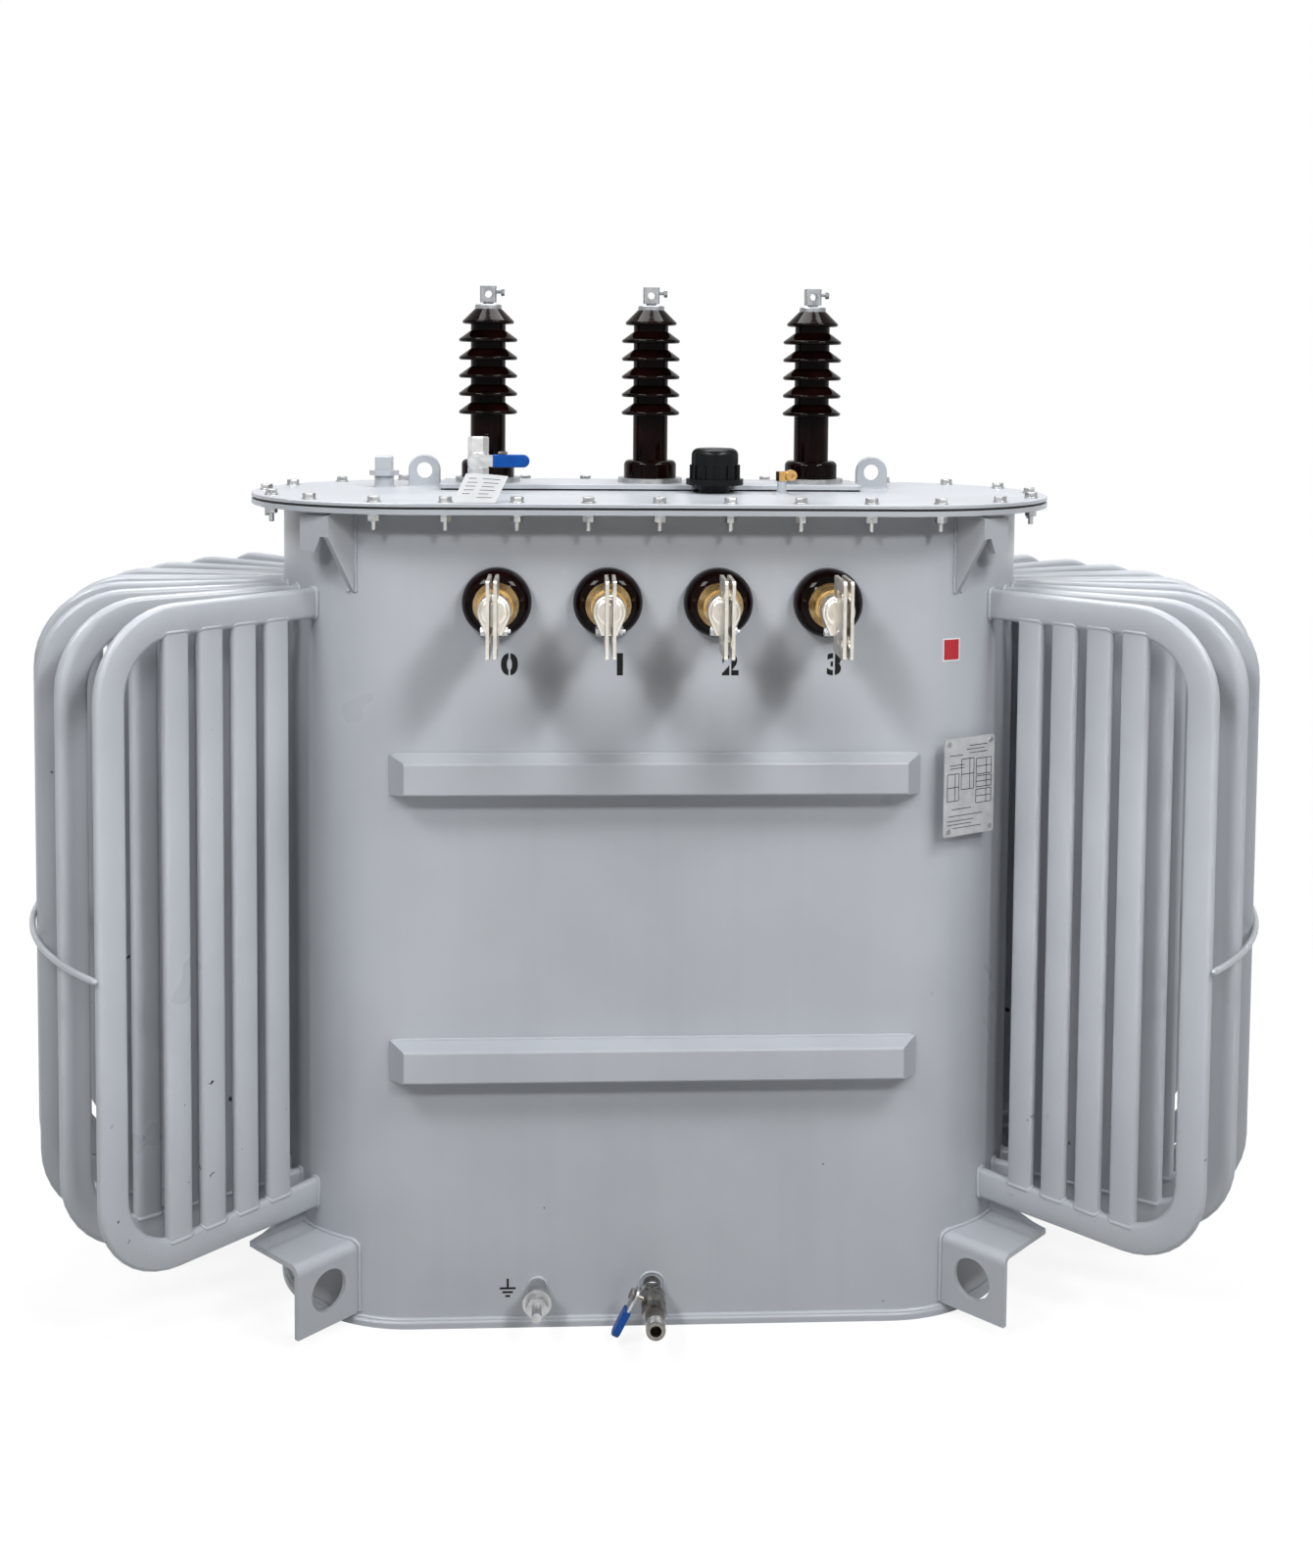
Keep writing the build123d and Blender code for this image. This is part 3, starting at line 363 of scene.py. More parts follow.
def makeCoverBolts():
    thick, edge = coverBolts["washer thick"], coverBolts["edge"]
    washer = roundRod(coverBolts["washer"], thick, coverBolts["washer edge"])
    head = hexagon(coverBolts["head"], coverBolts["head height"], edge, thick)
    master = joinPieces([washer, head], "cover_bolt_master")
    spots = boltPlaces()
    heads = copyTo(master, [Matrix.Translation((x, y, tank["coverTop"]))
                            @ Matrix.Rotation(i * coverBolts["head twist"], 4, "Z")
                            for i, (x, y, lean) in enumerate(spots)], "cover_bolt_heads")
    finishPiece(heads, finishes["zinc_steel"])
    nut = hexagon(coverBolts["nut"], coverBolts["nut height"], edge, thick)
    washer = roundRod(coverBolts["washer"], thick, coverBolts["washer edge"])
    stud = roundRod(coverBolts["stud"], coverBolts["stud length"], coverBolts["stud edge"], 0.0,
                    coverBolts["stud sides"])
    master = joinPieces([washer, nut, stud], "cover_nut_master")
    flip = Matrix.Rotation(math.pi, 4, "X")
    free = [spot for spot in spots if not coverBolts["lug from"] < spot[2] < coverBolts["lug to"]]
    nuts = copyTo(master, [Matrix.Translation((x, y, tank["flangeUnder"])) @ flip
                           @ Matrix.Rotation(i * coverBolts["nut twist"], 4, "Z")
                           for i, (x, y, lean) in enumerate(free)], "cover_bolt_nuts")
    finishPiece(nuts, finishes["zinc_steel"])


makeCoverBolts()

# Cooler tubes: nine loops of flat oval tube round each end, each with four upright tubes between its headers
coolers = {
    "loops": 9, "first": 44.0, "reach": 0.612, "bend": 0.112, "bend steps": 10, "sink": 0.012,
    "across": 0.050, "thick": 0.018, "upright across": 0.046, "upright thick": 0.017, "sides": 16,
    "upright first": 0.313, "upright pitch": 0.062, "uprights": 4,
    "groups": {"front": (0, 1, 2), "middle": (3, 4, 5), "back": (6, 7, 8)},
}
coolerLow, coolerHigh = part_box("cooler_left_middle")
headerLevels = (coolerLow.z + coolers["across"] / 2, coolerHigh.z - coolers["across"] / 2)


# the place of one loop: its own X axis points away from the tank's end
def loopPlace(side, number):
    step = (90 - coolers["first"]) / ((coolers["loops"] - 1) / 2)
    turn = math.radians(coolers["first"] + number * step)
    return (Matrix.Translation((side * tank["straight"], 0, 0))
            @ Matrix.Rotation(-math.pi / 2 + side * turn, 4, "Z"))


# a flat oval ring of edges: a circle drawn apart along X
def ovalRing(across, thick, place):
    deselect()
    bpy.ops.mesh.primitive_circle_add(vertices=coolers["sides"], radius=thick / 2)
    ring = bpy.context.object
    ring.data.transform(Matrix.Rotation(math.pi / coolers["sides"], 4, "Z"))
    for point in ring.data.vertices:
        point.co.x += math.copysign((across - thick) / 2, point.co.x)
    ring.data.transform(place)
    pick(ring)
    bpy.context.tool_settings.mesh_select_mode = (True, False, False)
    bpy.ops.object.mode_set(mode="EDIT")
    bpy.ops.mesh.select_all(action="SELECT")
    return ring


def drawOut(x, z):
    bpy.ops.mesh.extrude_region_move(TRANSFORM_OT_translate={"value": (x, 0, z)})


def bendRound(x, z):
    bpy.ops.mesh.spin(steps=coolers["bend steps"], angle=math.pi / 2, center=(x, 0, z), axis=(0, -1, 0))


def closeTube():
    bpy.ops.mesh.select_all(action="SELECT")
    bpy.ops.mesh.fill_holes(sides=0)
    bpy.ops.mesh.select_all(action="SELECT")
    bpy.ops.mesh.normals_make_consistent(inside=False)
    bpy.ops.object.mode_set(mode="OBJECT")


def coolerLoop():
    low, high = headerLevels
    root, reach, bend = tank["radius"] - coolers["sink"], coolers["reach"], coolers["bend"]
    frameTube = ovalRing(coolers["across"], coolers["thick"],
                         Matrix.Translation((root, 0, high)) @ Matrix.Rotation(-math.pi / 2, 4, "Y"))
    drawOut(reach - bend - root, 0)
    bendRound(reach - bend, high - bend)
    drawOut(0, low - high + 2 * bend)
    bendRound(reach - bend, low + bend)
    drawOut(root - reach + bend, 0)
    closeTube()
    tubes = [frameTube]
    for i in range(coolers["uprights"]):
        spot = Matrix.Translation((coolers["upright first"] + i * coolers["upright pitch"], 0, low))
        tubes.append(ovalRing(coolers["upright across"], coolers["upright thick"], spot))
        drawOut(0, high - low)
        closeTube()
    return joinPieces(tubes, "cooler_loop_master")


def makeCoolers():
    master = coolerLoop()
    for sideName, side in (("left", -1), ("right", 1)):
        for group, numbers in coolers["groups"].items():
            loop = master.copy()
            loop.data = master.data.copy()
            bpy.context.scene.collection.objects.link(loop)
            tubes = copyTo(loop, [loopPlace(side, number) for number in numbers],
                           "tubes_" + sideName + "_" + group)
            finishPiece(tubes, tubePaint)
            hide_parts("cooler_" + sideName + "_" + group)
    bpy.data.objects.remove(master)


makeCoolers()

# Weld beads, laid as rippled rods along the joints
weld = {
    "rim": 0.0042, "channel": 0.0026, "foot": 0.0036, "header": 0.0036, "riser": 0.0024,
    "step": 0.004, "ripple": 0.0016, "grain": 0.006, "off wall": 0.001, "root off wall": 0.0015,
    "channel high": 0.065, "channel past wall": 0.03, "oval sides": 18,
    "foot near": -0.094, "foot far": 0.027, "foot top": 0.138, "foot bend": 0.016,
    "foot steps": 8, "foot clear": 0.003,
}
weldRipple = bpy.data.textures.new("weldRipple", "CLOUDS")
weldRipple.noise_scale = weld["grain"]


def ripple(piece):
    applyModifier(piece, "DISPLACE", {"texture": weldRipple, "texture_coords": "GLOBAL",
                                      "strength": weld["ripple"], "mid_level": 0.5})


def divide(corners, step):
    points = [Vector(corners[0])]
    for a, b in zip(corners[:-1], corners[1:]):
        run = Vector(b) - Vector(a)
        count = max(1, round(run.length / step))
        points += [Vector(a) + run * (i / count) for i in range(1, count + 1)]
    return points


# one rippled rod through the points, as a mesh
def layBead(points, radius, closed=False):
    curve = bpy.data.curves.new("bead", "CURVE")
    curve.dimensions = "3D"
    curve.bevel_depth = radius
    curve.bevel_resolution = 1
    curve.use_fill_caps = not closed
    line = curve.splines.new("POLY")
    line.points.add(len(points) - 1)
    for knot, point in zip(line.points, points):
        knot.co = (*point, 1.0)
    line.use_cyclic_u = closed
    bead = bpy.data.objects.new("bead", curve)
    bpy.context.scene.collection.objects.link(bead)
    pick(bead)
    bpy.ops.object.convert(target="MESH")
    bead = bpy.context.object
    ripple(bead)
    return bead


def ringBead(radius, bead, segments=28):
    deselect()
    bpy.ops.mesh.primitive_torus_add(major_segments=segments, minor_segments=6,
                                     major_radius=radius, minor_radius=bead)
    return settle(bpy.context.object)


def makeTankWelds():
    beads = []
    ring = tank["radius"] + weld["off wall"]
    for side in (-1, 1):
        y = side * ring
        flat = [(-tank["straight"], y, tank["rimTop"]), (tank["straight"], y, tank["rimTop"])]
        beads.append(layBead(divide(flat, weld["step"]), weld["rim"]))
        turns = round(math.pi * tank["radius"] / weld["step"])
        arc = [Vector((side * (tank["straight"] + ring * math.sin(math.pi * i / turns)),
                       -ring * math.cos(math.pi * i / turns), tank["rimTop"]))
               for i in range(turns + 1)]
        beads.append(layBead(arc, weld["rim"]))
    finishPiece(joinPieces(beads, "rim_welds"), finishes["tank_paint"], angle=80)


def makeChannelWelds():
    low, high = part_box("stiffeners")
    height = weld["channel high"]
    beads = []
    for base in (low.z, high.z - height):
        for side in (-1, 1):
            y = side * (tank["radius"] + weld["off wall"])
            x = min(high.x, tank["straight"] + weld["channel past wall"])
            ring = [(-x, y, base), (x, y, base), (x, y, base + height), (-x, y, base + height), (-x, y, base)]
            beads.append(layBead(divide(ring, weld["step"])[:-1], weld["channel"], True))
    finishPiece(joinPieces(beads, "channel_welds"), finishes["tank_paint"], angle=80)


# a bead ring drawn apart into a flat oval along X
def ovalBead(across, thick, bead):
    ring = ringBead(thick / 2, bead, weld["oval sides"])
    for point in ring.data.vertices:
        point.co.x += math.copysign((across - thick) / 2, point.co.x)
    return ring


# beads where the headers meet the tank, and where the upright tubes meet the headers
def makeCoolerWelds():
    spots = [loopPlace(side, number) for side in (-1, 1) for number in range(coolers["loops"])]
    ring = ovalBead(coolers["across"], coolers["thick"], weld["header"])
    ring.data.transform(Matrix.Rotation(-math.pi / 2, 4, "Y"))
    reach = tank["radius"] + weld["root off wall"]
    for point in ring.data.vertices:
        point.co.x -= reach - math.sqrt(reach ** 2 - point.co.y ** 2)
    roots = copyTo(ring, [spot @ Matrix.Translation((reach, 0, z)) for spot in spots for z in headerLevels],
                   "header_root_welds")
    ripple(roots)
    finishPiece(roots, finishes["tank_paint"], angle=80)
    saddle = ovalBead(coolers["upright across"], coolers["upright thick"], weld["riser"])
    edge = coolers["thick"] / 2
    for point in saddle.data.vertices:
        off = min(abs(point.co.y), edge * 0.98)
        point.co.z += coolers["across"] / 2 - edge + math.sqrt(edge ** 2 - off ** 2)
    places = []
    for spot in spots:
        for i in range(coolers["uprights"]):
            along = coolers["upright first"] + i * coolers["upright pitch"]
            places.append(spot @ Matrix.Translation((along, 0, headerLevels[0])))
            places.append(spot @ Matrix.Translation((along, 0, headerLevels[1]))
                          @ Matrix.Rotation(math.pi, 4, "X"))
    saddles = copyTo(saddle, places, "riser_saddle_welds")
    finishPiece(saddles, finishes["tank_paint"], angle=80)


# a point on the tank's end near a corner: t runs across the corner diagonal
def cornerSpot(sideX, sideY, t, z):
    d = math.sqrt(tank["radius"] ** 2 - t ** 2) + weld["off wall"]
    root = 1 / math.sqrt(2)
    return Vector((sideX * (tank["straight"] + (d + t) * root), sideY * (d - t) * root, z))


# beads where each foot meets the tank: up the front plate and round under its lip
def makeFootWelds():
    low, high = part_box("foot_front_left")
    near, far, top, bend = [weld["foot " + key] for key in ("near", "far", "top", "bend")]
    turns = [math.pi / 2 * i / weld["foot steps"] for i in range(1, weld["foot steps"] + 1)]
    count = round((far - near - bend) / weld["step"])
    rise = [(near + bend - bend * math.cos(turn), top - bend + bend * math.sin(turn)) for turn in turns]
    over = [(near + bend + (far - near - bend) * i / count, top) for i in range(1, count + 1)]
    beads = []
    for sideX in (-1, 1):
        for sideY in (-1, 1):
            up = [cornerSpot(sideX, sideY, near, z) for z in (low.z + weld["foot clear"], top - bend)]
            rest = [cornerSpot(sideX, sideY, t, z) for t, z in rise + over]
            beads.append(layBead(divide(up, weld["step"]) + rest, weld["foot"]))
    finishPiece(joinPieces(beads, "foot_welds"), finishes["tank_paint"], angle=80)


makeTankWelds()
makeChannelWelds()
makeCoolerWelds()
makeFootWelds()

# Welds round bosses, eyes and lugs
smallWelds = {
    "bead": 0.0024, "eye x": 0.398, "eye y": 0.110, "eye half": 0.028, "eye thick": 0.006,
    "front": ((-0.187, 0.064, 0.0155), (-0.001, 0.064, 0.0215)),                             # x, z, radius
    "cover": ((0.217, -0.060, 0.0122), (-0.467, 0.090, 0.0172), (-0.2975, -0.010, 0.0122)),  # x, y, radius
    "lug faces": (-0.0895, -0.0765), "lug low": 1.199, "lug high": 1.322,
}


def makeSmallWelds():
    beads = []
    for x, z, radius in smallWelds["front"]:
        bead = ringBead(radius, smallWelds["bead"])
        bead.data.transform(Matrix.Translation((x, -tank["radius"], z)) @ Matrix.Rotation(math.pi / 2, 4, "X"))
        beads.append(bead)
    for x, y, radius in smallWelds["cover"]:
        bead = ringBead(radius, smallWelds["bead"])
        bead.data.transform(Matrix.Translation((x, y, tank["coverTop"])))
        beads.append(bead)
    for side in (-1, 1):
        x, y = side * smallWelds["eye x"], smallWelds["eye y"]
        half, thick = smallWelds["eye half"], smallWelds["eye thick"]
        foot = [(x + i * half, y + j * thick, tank["coverTop"])
                for i, j in ((-1, -1), (1, -1), (1, 1), (-1, 1), (-1, -1))]
        beads.append(layBead(divide(foot, weld["step"])[:-1], smallWelds["bead"], True))
        for sideY in (-1, 1):
            for t in smallWelds["lug faces"]:
                ends = [cornerSpot(side, sideY, t, smallWelds[level]) for level in ("lug low", "lug high")]
                beads.append(layBead(divide(ends, weld["step"]), smallWelds["bead"]))
    piece = joinPieces(beads, "small_welds")
    ripple(piece)
    finishPiece(piece, finishes["tank_paint"], angle=80)


# Tack welds that hold each tie rod to the outer legs
tacks = {"radius": 0.0085, "flat": 0.55, "height": 0.655, "ring": 0.6405}


def makeTacks():
    deselect()
    bpy.ops.mesh.primitive_uv_sphere_add(segments=12, ring_count=7, radius=tacks["radius"])
    tack = bpy.context.object
    tack.scale = (tacks["flat"], 1.0, tacks["flat"])
    settle(tack)
    places = []
    for side in (-1, 1):
        for number in range(coolers["loops"]):
            places.append(loopPlace(side, number) @ Matrix.Translation((tacks["ring"], 0, tacks["height"])))
    piece = copyTo(tack, places, "tie_rod_tacks")
    ripple(piece)
    finishPiece(piece, finishes["tank_paint"], angle=80)


makeSmallWelds()
makeTacks()

# Clamp bolts under the low voltage hubs
clampBolt = {
    "span": 0.013, "head": 0.013, "head height": 0.0065, "edge": 0.0007,
    "washer": 0.008, "washer thick": 0.0015, "washer edge": 0.0004,
    "shank": 0.0035, "tail": 0.012, "tail edge": 0.0006, "tail sides": 12,
    "place": (-0.346, 1.155), "twist": 0.4,     # y and z, and radians from each bolt to the next
}


def makeClampBolts():
    span, thick = clampBolt["span"], clampBolt["washer thick"]
    head, nut = [hexagon(clampBolt["head"], clampBolt["head height"], clampBolt["edge"], span + thick)
                 for end in ("near", "far")]
    ring, far = [roundRod(clampBolt["washer"], thick, clampBolt["washer edge"], span) for end in ("near", "far")]
    tail = roundRod(clampBolt["shank"], clampBolt["tail"], clampBolt["tail edge"], span, clampBolt["tail sides"])
    for piece in (nut, far, tail):
        piece.data.transform(Matrix.Rotation(math.pi, 4, "X"))
    master = joinPieces([head, ring, nut, far, tail], "clamp_bolt_master")
    y, z = clampBolt["place"]
    places = []
    for i in range(4):
        low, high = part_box("lv_terminal_" + str(i + 1))
        places.append(Matrix.Translation(((low.x + high.x) / 2, y, z)) @ Matrix.Rotation(math.pi / 2, 4, "Y")
                      @ Matrix.Rotation(clampBolt["twist"] * i, 4, "Z"))
    finishPiece(copyTo(master, places, "lv_clamp_bolts"), finishes["zinc_steel"])


makeClampBolts()

# Stencilled figures under the low voltage bushings, with the bridges that a stencil leaves
stencil = {"figures": (("0", -0.236), ("1", -0.060), ("2", 0.117), ("3", 0.284)),
           "level": 1.0855, "height": 0.036, "wide": 1.12, "bold": 0.045, "bridge": 0.0015, "film": 0.0002}


def cutAway(shape, place, way):
    pick(shape)
    bpy.ops.object.mode_set(mode="EDIT")
    bpy.ops.mesh.select_all(action="SELECT")
    bpy.ops.mesh.bisect(plane_co=place, plane_no=way, clear_inner=True)
    bpy.ops.object.mode_set(mode="OBJECT")
    return shape


def figureShape(figure):
    deselect()
    bpy.ops.object.text_add()
    writing = bpy.context.object
    writing.data.body = figure
    writing.data.offset = stencil["bold"]
    bpy.ops.object.convert(target="MESH")
    shape = bpy.context.object
    across = [point.co.x for point in shape.data.vertices]
    up = [point.co.y for point in shape.data.vertices]
    size = stencil["height"] / (max(up) - min(up))
    shape.data.transform(Matrix.Diagonal((size * stencil["wide"], size, 1, 1))
                         @ Matrix.Translation((-(max(across) + min(across)) / 2, -(max(up) + min(up)) / 2, 0)))
    return shape


def makeStencil():
    pieces = []
    for figure, x in stencil["figures"]:
        if figure == "1":
            shapes = [figureShape(figure)]
        else:
            shapes = [cutAway(figureShape(figure), (side * stencil["bridge"], 0, 0), (side, 0, 0))
                      for side in (-1, 1)]
        for shape in shapes:
            shape.data.transform(Matrix.Translation((x, -tank["radius"] - stencil["film"], stencil["level"]))
                                 @ Matrix.Rotation(math.pi / 2, 4, "X"))
            pieces.append(shape)
    finishPiece(joinPieces(pieces, "stencil_figures"), stencilInk)


makeStencil()


# a bar with all its edges rounded
def roundBar(size, edge, segments=2):
    deselect()
    bpy.ops.mesh.primitive_cube_add(size=1)
    bar = bpy.context.object
    bar.scale = size
    settle(bar)
    bpy.ops.object.mode_set(mode="EDIT")
    bpy.ops.mesh.select_all(action="SELECT")
    bpy.ops.mesh.bevel(offset=edge, segments=segments)
    bpy.ops.object.mode_set(mode="OBJECT")
    return bar


# Earth sign beside the earth terminal: a stem and three bars
earthSign = {"place": (-0.2355, 0.062), "stem": 0.016, "bars": (0.026, 0.017, 0.008),
             "pitch": 0.0065, "line": 0.0034, "film": 0.0003}


def makeEarthSign():
    x, z = earthSign["place"]
    line, film = earthSign["line"], earthSign["film"]
    parts = []
    stem = roundBar((line, film, earthSign["stem"]), film / 4, 1)
    stem.data.transform(Matrix.Translation((x, -tank["radius"] - film / 2, z + earthSign["stem"] / 2)))
    parts.append(stem)
    for i, width in enumerate(earthSign["bars"]):
        bar = roundBar((width, film, line), film / 4, 1)
        bar.data.transform(Matrix.Translation((x, -tank["radius"] - film / 2, z - i * earthSign["pitch"])))
        parts.append(bar)
    finishPiece(joinPieces(parts, "earth_sign"), stencilInk)


makeEarthSign()

# Nameplate: blank etched rules and boxes, and a rivet in each corner
namePlate = {
    "turn": 28.0, "out": 0.255, "level": 0.885, "wide": 0.105, "high": 0.160, "line": 0.0012, "film": 0.00012,
    "rivet": 0.0042, "rivet height": 0.0022, "rivet in": 0.009, "rivet round": 0.7, "rivet sides": 16,
    # centre across, height and length of each rule
    "rules": ((0.018, 0.066, 0.038), (0.012, 0.060, 0.038), (0.018, 0.054, 0.038), (-0.028, 0.052, 0.028),
              (-0.008, -0.047, 0.072), (-0.018, -0.055, 0.056), (-0.020, -0.061, 0.050),
              (-0.004, -0.067, 0.060), (-0.026, 0.036, 0.030), (-0.026, 0.031, 0.030), (-0.016, -0.036, 0.040)),
    # centre, width and height of each box
    "boxes": ((0.030, 0.030, 0.032, 0.026), (0.030, 0.005, 0.032, 0.018), (0.030, -0.019, 0.032, 0.022),
              (-0.004, 0.020, 0.026, 0.050), (-0.034, 0.000, 0.024, 0.044)),
}


def makeNamePlate():
    turn = math.radians(namePlate["turn"])
    place = (Matrix.Translation((tank["straight"] + namePlate["out"] * math.sin(turn),
                                 -namePlate["out"] * math.cos(turn), namePlate["level"]))
             @ Matrix.Rotation(turn, 4, "Z"))
    line, film = namePlate["line"], namePlate["film"]
    strokes = []
    for across, up, length in namePlate["rules"]:
        strokes.append((across, up, length, line))
    for across, up, wide, high in namePlate["boxes"]:
        for side in (-1, 1):
            strokes.append((across, up + side * high / 2, wide, line))
            strokes.append((across + side * wide / 2, up, line, high))
        strokes.append((across, up, wide, line))
        strokes.append((across + wide / 6, up, line, high))
    marks = []
    for across, up, wide, high in strokes:
        bar = roundBar((wide, film, high), film / 4, 1)
        bar.data.transform(place @ Matrix.Translation((across, -film / 2, up)))
        marks.append(bar)
    finishPiece(joinPieces(marks, "nameplate_rules"), stencilInk)
    height, inset = namePlate["rivet height"], namePlate["rivet in"]
    rivet = roundRod(namePlate["rivet"], height, height * namePlate["rivet round"], 0.0, namePlate["rivet sides"])
    corners = [(i * (namePlate["wide"] / 2 - inset), j * (namePlate["high"] / 2 - inset))
               for i in (-1, 1) for j in (-1, 1)]
    rivets = copyTo(rivet, [place @ Matrix.Translation((across, 0, up)) @ Matrix.Rotation(math.pi / 2, 4, "X")
                            for across, up in corners], "nameplate_rivets")
    finishPiece(rivets, finishes["zinc_steel"])


makeNamePlate()


# a flat sheet of one unit, cut into a grid
def gridSheet(cuts):
    deselect()
    bpy.ops.mesh.primitive_plane_add(size=1)
    sheet = bpy.context.object
    bpy.ops.object.mode_set(mode="EDIT")
    bpy.ops.mesh.subdivide(number_cuts=cuts)
    bpy.ops.object.mode_set(mode="OBJECT")
    return sheet


# a smooth thin wire through a few points, as a mesh
def layWire(points, radius):
    curve = bpy.data.curves.new("wire", "CURVE")
    curve.dimensions = "3D"
    curve.bevel_depth = radius
    curve.bevel_resolution = 1
    curve.resolution_u = 8
    curve.use_fill_caps = True
    line = curve.splines.new("BEZIER")
    line.bezier_points.add(len(points) - 1)
    for knot, point in zip(line.bezier_points, points):
        knot.co = point
        knot.handle_left_type = knot.handle_right_type = "AUTO"
    wire = bpy.data.objects.new("wire", curve)
    bpy.context.scene.collection.objects.link(wire)
    pick(wire)
    bpy.ops.object.convert(target="MESH")
    return bpy.context.object


# Card tag standing on the cover's front edge, with blank printed rules, tied to the upper valve by a wire
cardTag = {
    "corners": ((-0.3235, -0.283, 1.3472), (-0.2570, -0.2835, 1.3472),
                (-0.2378, -0.262, 1.387), (-0.3040, -0.262, 1.391)),
    "thick": 0.0005, "curl": 0.003, "cuts": 9, "wire": 0.0005,
    "wire path": ((-0.272, -0.2625, 1.386), (-0.280, -0.235, 1.375), (-0.290, -0.170, 1.3475),
                  (-0.300, -0.090, 1.3475), (-0.2985, -0.040, 1.352), (-0.2975, -0.0228, 1.358)),
    # each rule's ends across the card and its level, as shares
    "rules": ((0.12, 0.30, 0.84), (0.45, 0.86, 0.84), (0.12, 0.36, 0.70), (0.50, 0.86, 0.70),
              (0.12, 0.36, 0.57), (0.50, 0.80, 0.57), (0.12, 0.36, 0.44), (0.50, 0.86, 0.44),
              (0.12, 0.30, 0.31), (0.50, 0.74, 0.31), (0.50, 0.86, 0.18)),
    "rule high": 0.03, "ink": 0.00008,
}


# a point on the card's face, from shares across and up it
def onCard(u, v, lift=0.0):
    a, b, c, d = [Vector(corner) for corner in cardTag["corners"]]
    out = (b - a).cross(d - a).normalized()
    flat = (a * (1 - u) + b * u) * (1 - v) + (d * (1 - u) + c * u) * v
    return flat + out * (cardTag["curl"] * math.sin(math.pi * u) * v + lift)


def cardSheet(left, right, low, high, lift, thick):
    sheet = gridSheet(cardTag["cuts"])
    for point in sheet.data.vertices:
        point.co = onCard(left + (point.co.x + 0.5) * (right - left),
                          low + (point.co.y + 0.5) * (high - low), lift)
    applyModifier(sheet, "SOLIDIFY", {"thickness": thick, "offset": 0})
    return sheet


def makeCard():
    card = cardSheet(0, 1, 0, 1, 0.0, cardTag["thick"])
    card.name = "card_tag"
    finishPiece(card, tagCard)
    half, ink = cardTag["rule high"] / 2, cardTag["ink"]
    rules = [cardSheet(left, right, up - half, up + half, cardTag["thick"] / 2 + ink / 2, ink)
             for left, right, up in cardTag["rules"]]
    finishPiece(joinPieces(rules, "card_rules"), printInk)
    wire = layWire(cardTag["wire path"], cardTag["wire"])
    wire.name = "card_wire"
    finishPiece(wire, finishes["zinc_steel"])


makeCard()

# Plain red sticker on the right end, with the pale edge of its backing showing all round
sticker = {
    "turn": 22.0, "level": 1.1065, "cuts": 5, "film": 0.0002,
    # each layer's width, height and how far its face stands off the wall
    "layers": (("sticker_backing", backingFilm, 0.0325, 0.0370, 0.0002),
               ("red_sticker", redVinyl, 0.0285, 0.0330, 0.0004)),
}


def makeSticker():
    for name, finish, wide, high, above in sticker["layers"]:
        patch = gridSheet(sticker["cuts"])
        reach = tank["radius"] + above
        for point in patch.data.vertices:
            turn = math.radians(sticker["turn"]) + point.co.x * wide / tank["radius"]
            point.co = (tank["straight"] + reach * math.sin(turn), -reach * math.cos(turn),
                        sticker["level"] + point.co.y * high)
        applyModifier(patch, "SOLIDIFY", {"thickness": sticker["film"], "offset": -1})
        patch.name = name
        finishPiece(patch, finish)


makeSticker()

# Drain valve: painted boss, white sealing tape, and the bright threaded end of the spout
drain = {
    "x": -0.001, "z": 0.064, "boss": 0.021, "boss deep": 0.015, "boss edge": 0.004, "boss sides": 32,
    "tape": 0.0152, "tape bead": 0.0022, "tape at": 0.0245, "tape step": 0.0012,
    "thread": 0.0150, "thread bead": 0.0007, "thread from": 0.124, "thread pitch": 0.0021, "threads": 9,
    "thread sides": 24,
}


def onDrain(out):
    return (Matrix.Translation((drain["x"], -tank["radius"] - out, drain["z"]))
            @ Matrix.Rotation(math.pi / 2, 4, "X"))


def makeDrainDetail():
    boss = roundRod(drain["boss"], drain["boss deep"], drain["boss edge"], 0.0, drain["boss sides"])
    boss.data.transform(onDrain(0))
    boss.name = "drain_boss"
    finishPiece(boss, finishes["tank_paint"])
    tape = copyTo(ringBead(drain["tape"], drain["tape bead"]),
                  [onDrain(drain["tape at"] + i * drain["tape step"]) @ Matrix.Rotation(i, 4, "Z") for i in (0, 1)],
                  "drain_tape")
    finishPiece(tape, tapeFilm)
    rings = [onDrain(drain["thread from"] + i * drain["thread pitch"]) for i in range(drain["threads"])]
    threads = copyTo(ringBead(drain["thread"], drain["thread bead"], drain["thread sides"]), rings, "drain_thread")
    finishPiece(threads, finishes["zinc_steel"])


makeDrainDetail()

# Lock slide on the upper valve's grip
lockSlide = {"size": (0.016, 0.010, 0.004), "place": (-0.2545, -0.040, 1.4125), "edge": 0.0012, "raised": 0.0008}


def makeLockSlide():
    slide = roundBar(lockSlide["size"], lockSlide["edge"])
    slide.data.transform(Matrix.Translation(lockSlide["place"]))
    selectFaces(slide, lambda centre, normal: normal.z > 0.9)
    bpy.ops.mesh.inset(thickness=lockSlide["edge"])
    bpy.ops.mesh.extrude_region_move(TRANSFORM_OT_translate={"value": (0, 0, lockSlide["raised"])})
    bpy.ops.object.mode_set(mode="OBJECT")
    slide.name = "lock_slide"
    finishPiece(slide, darkSteel, "upper_lever")


makeLockSlide()
print("small pieces made")

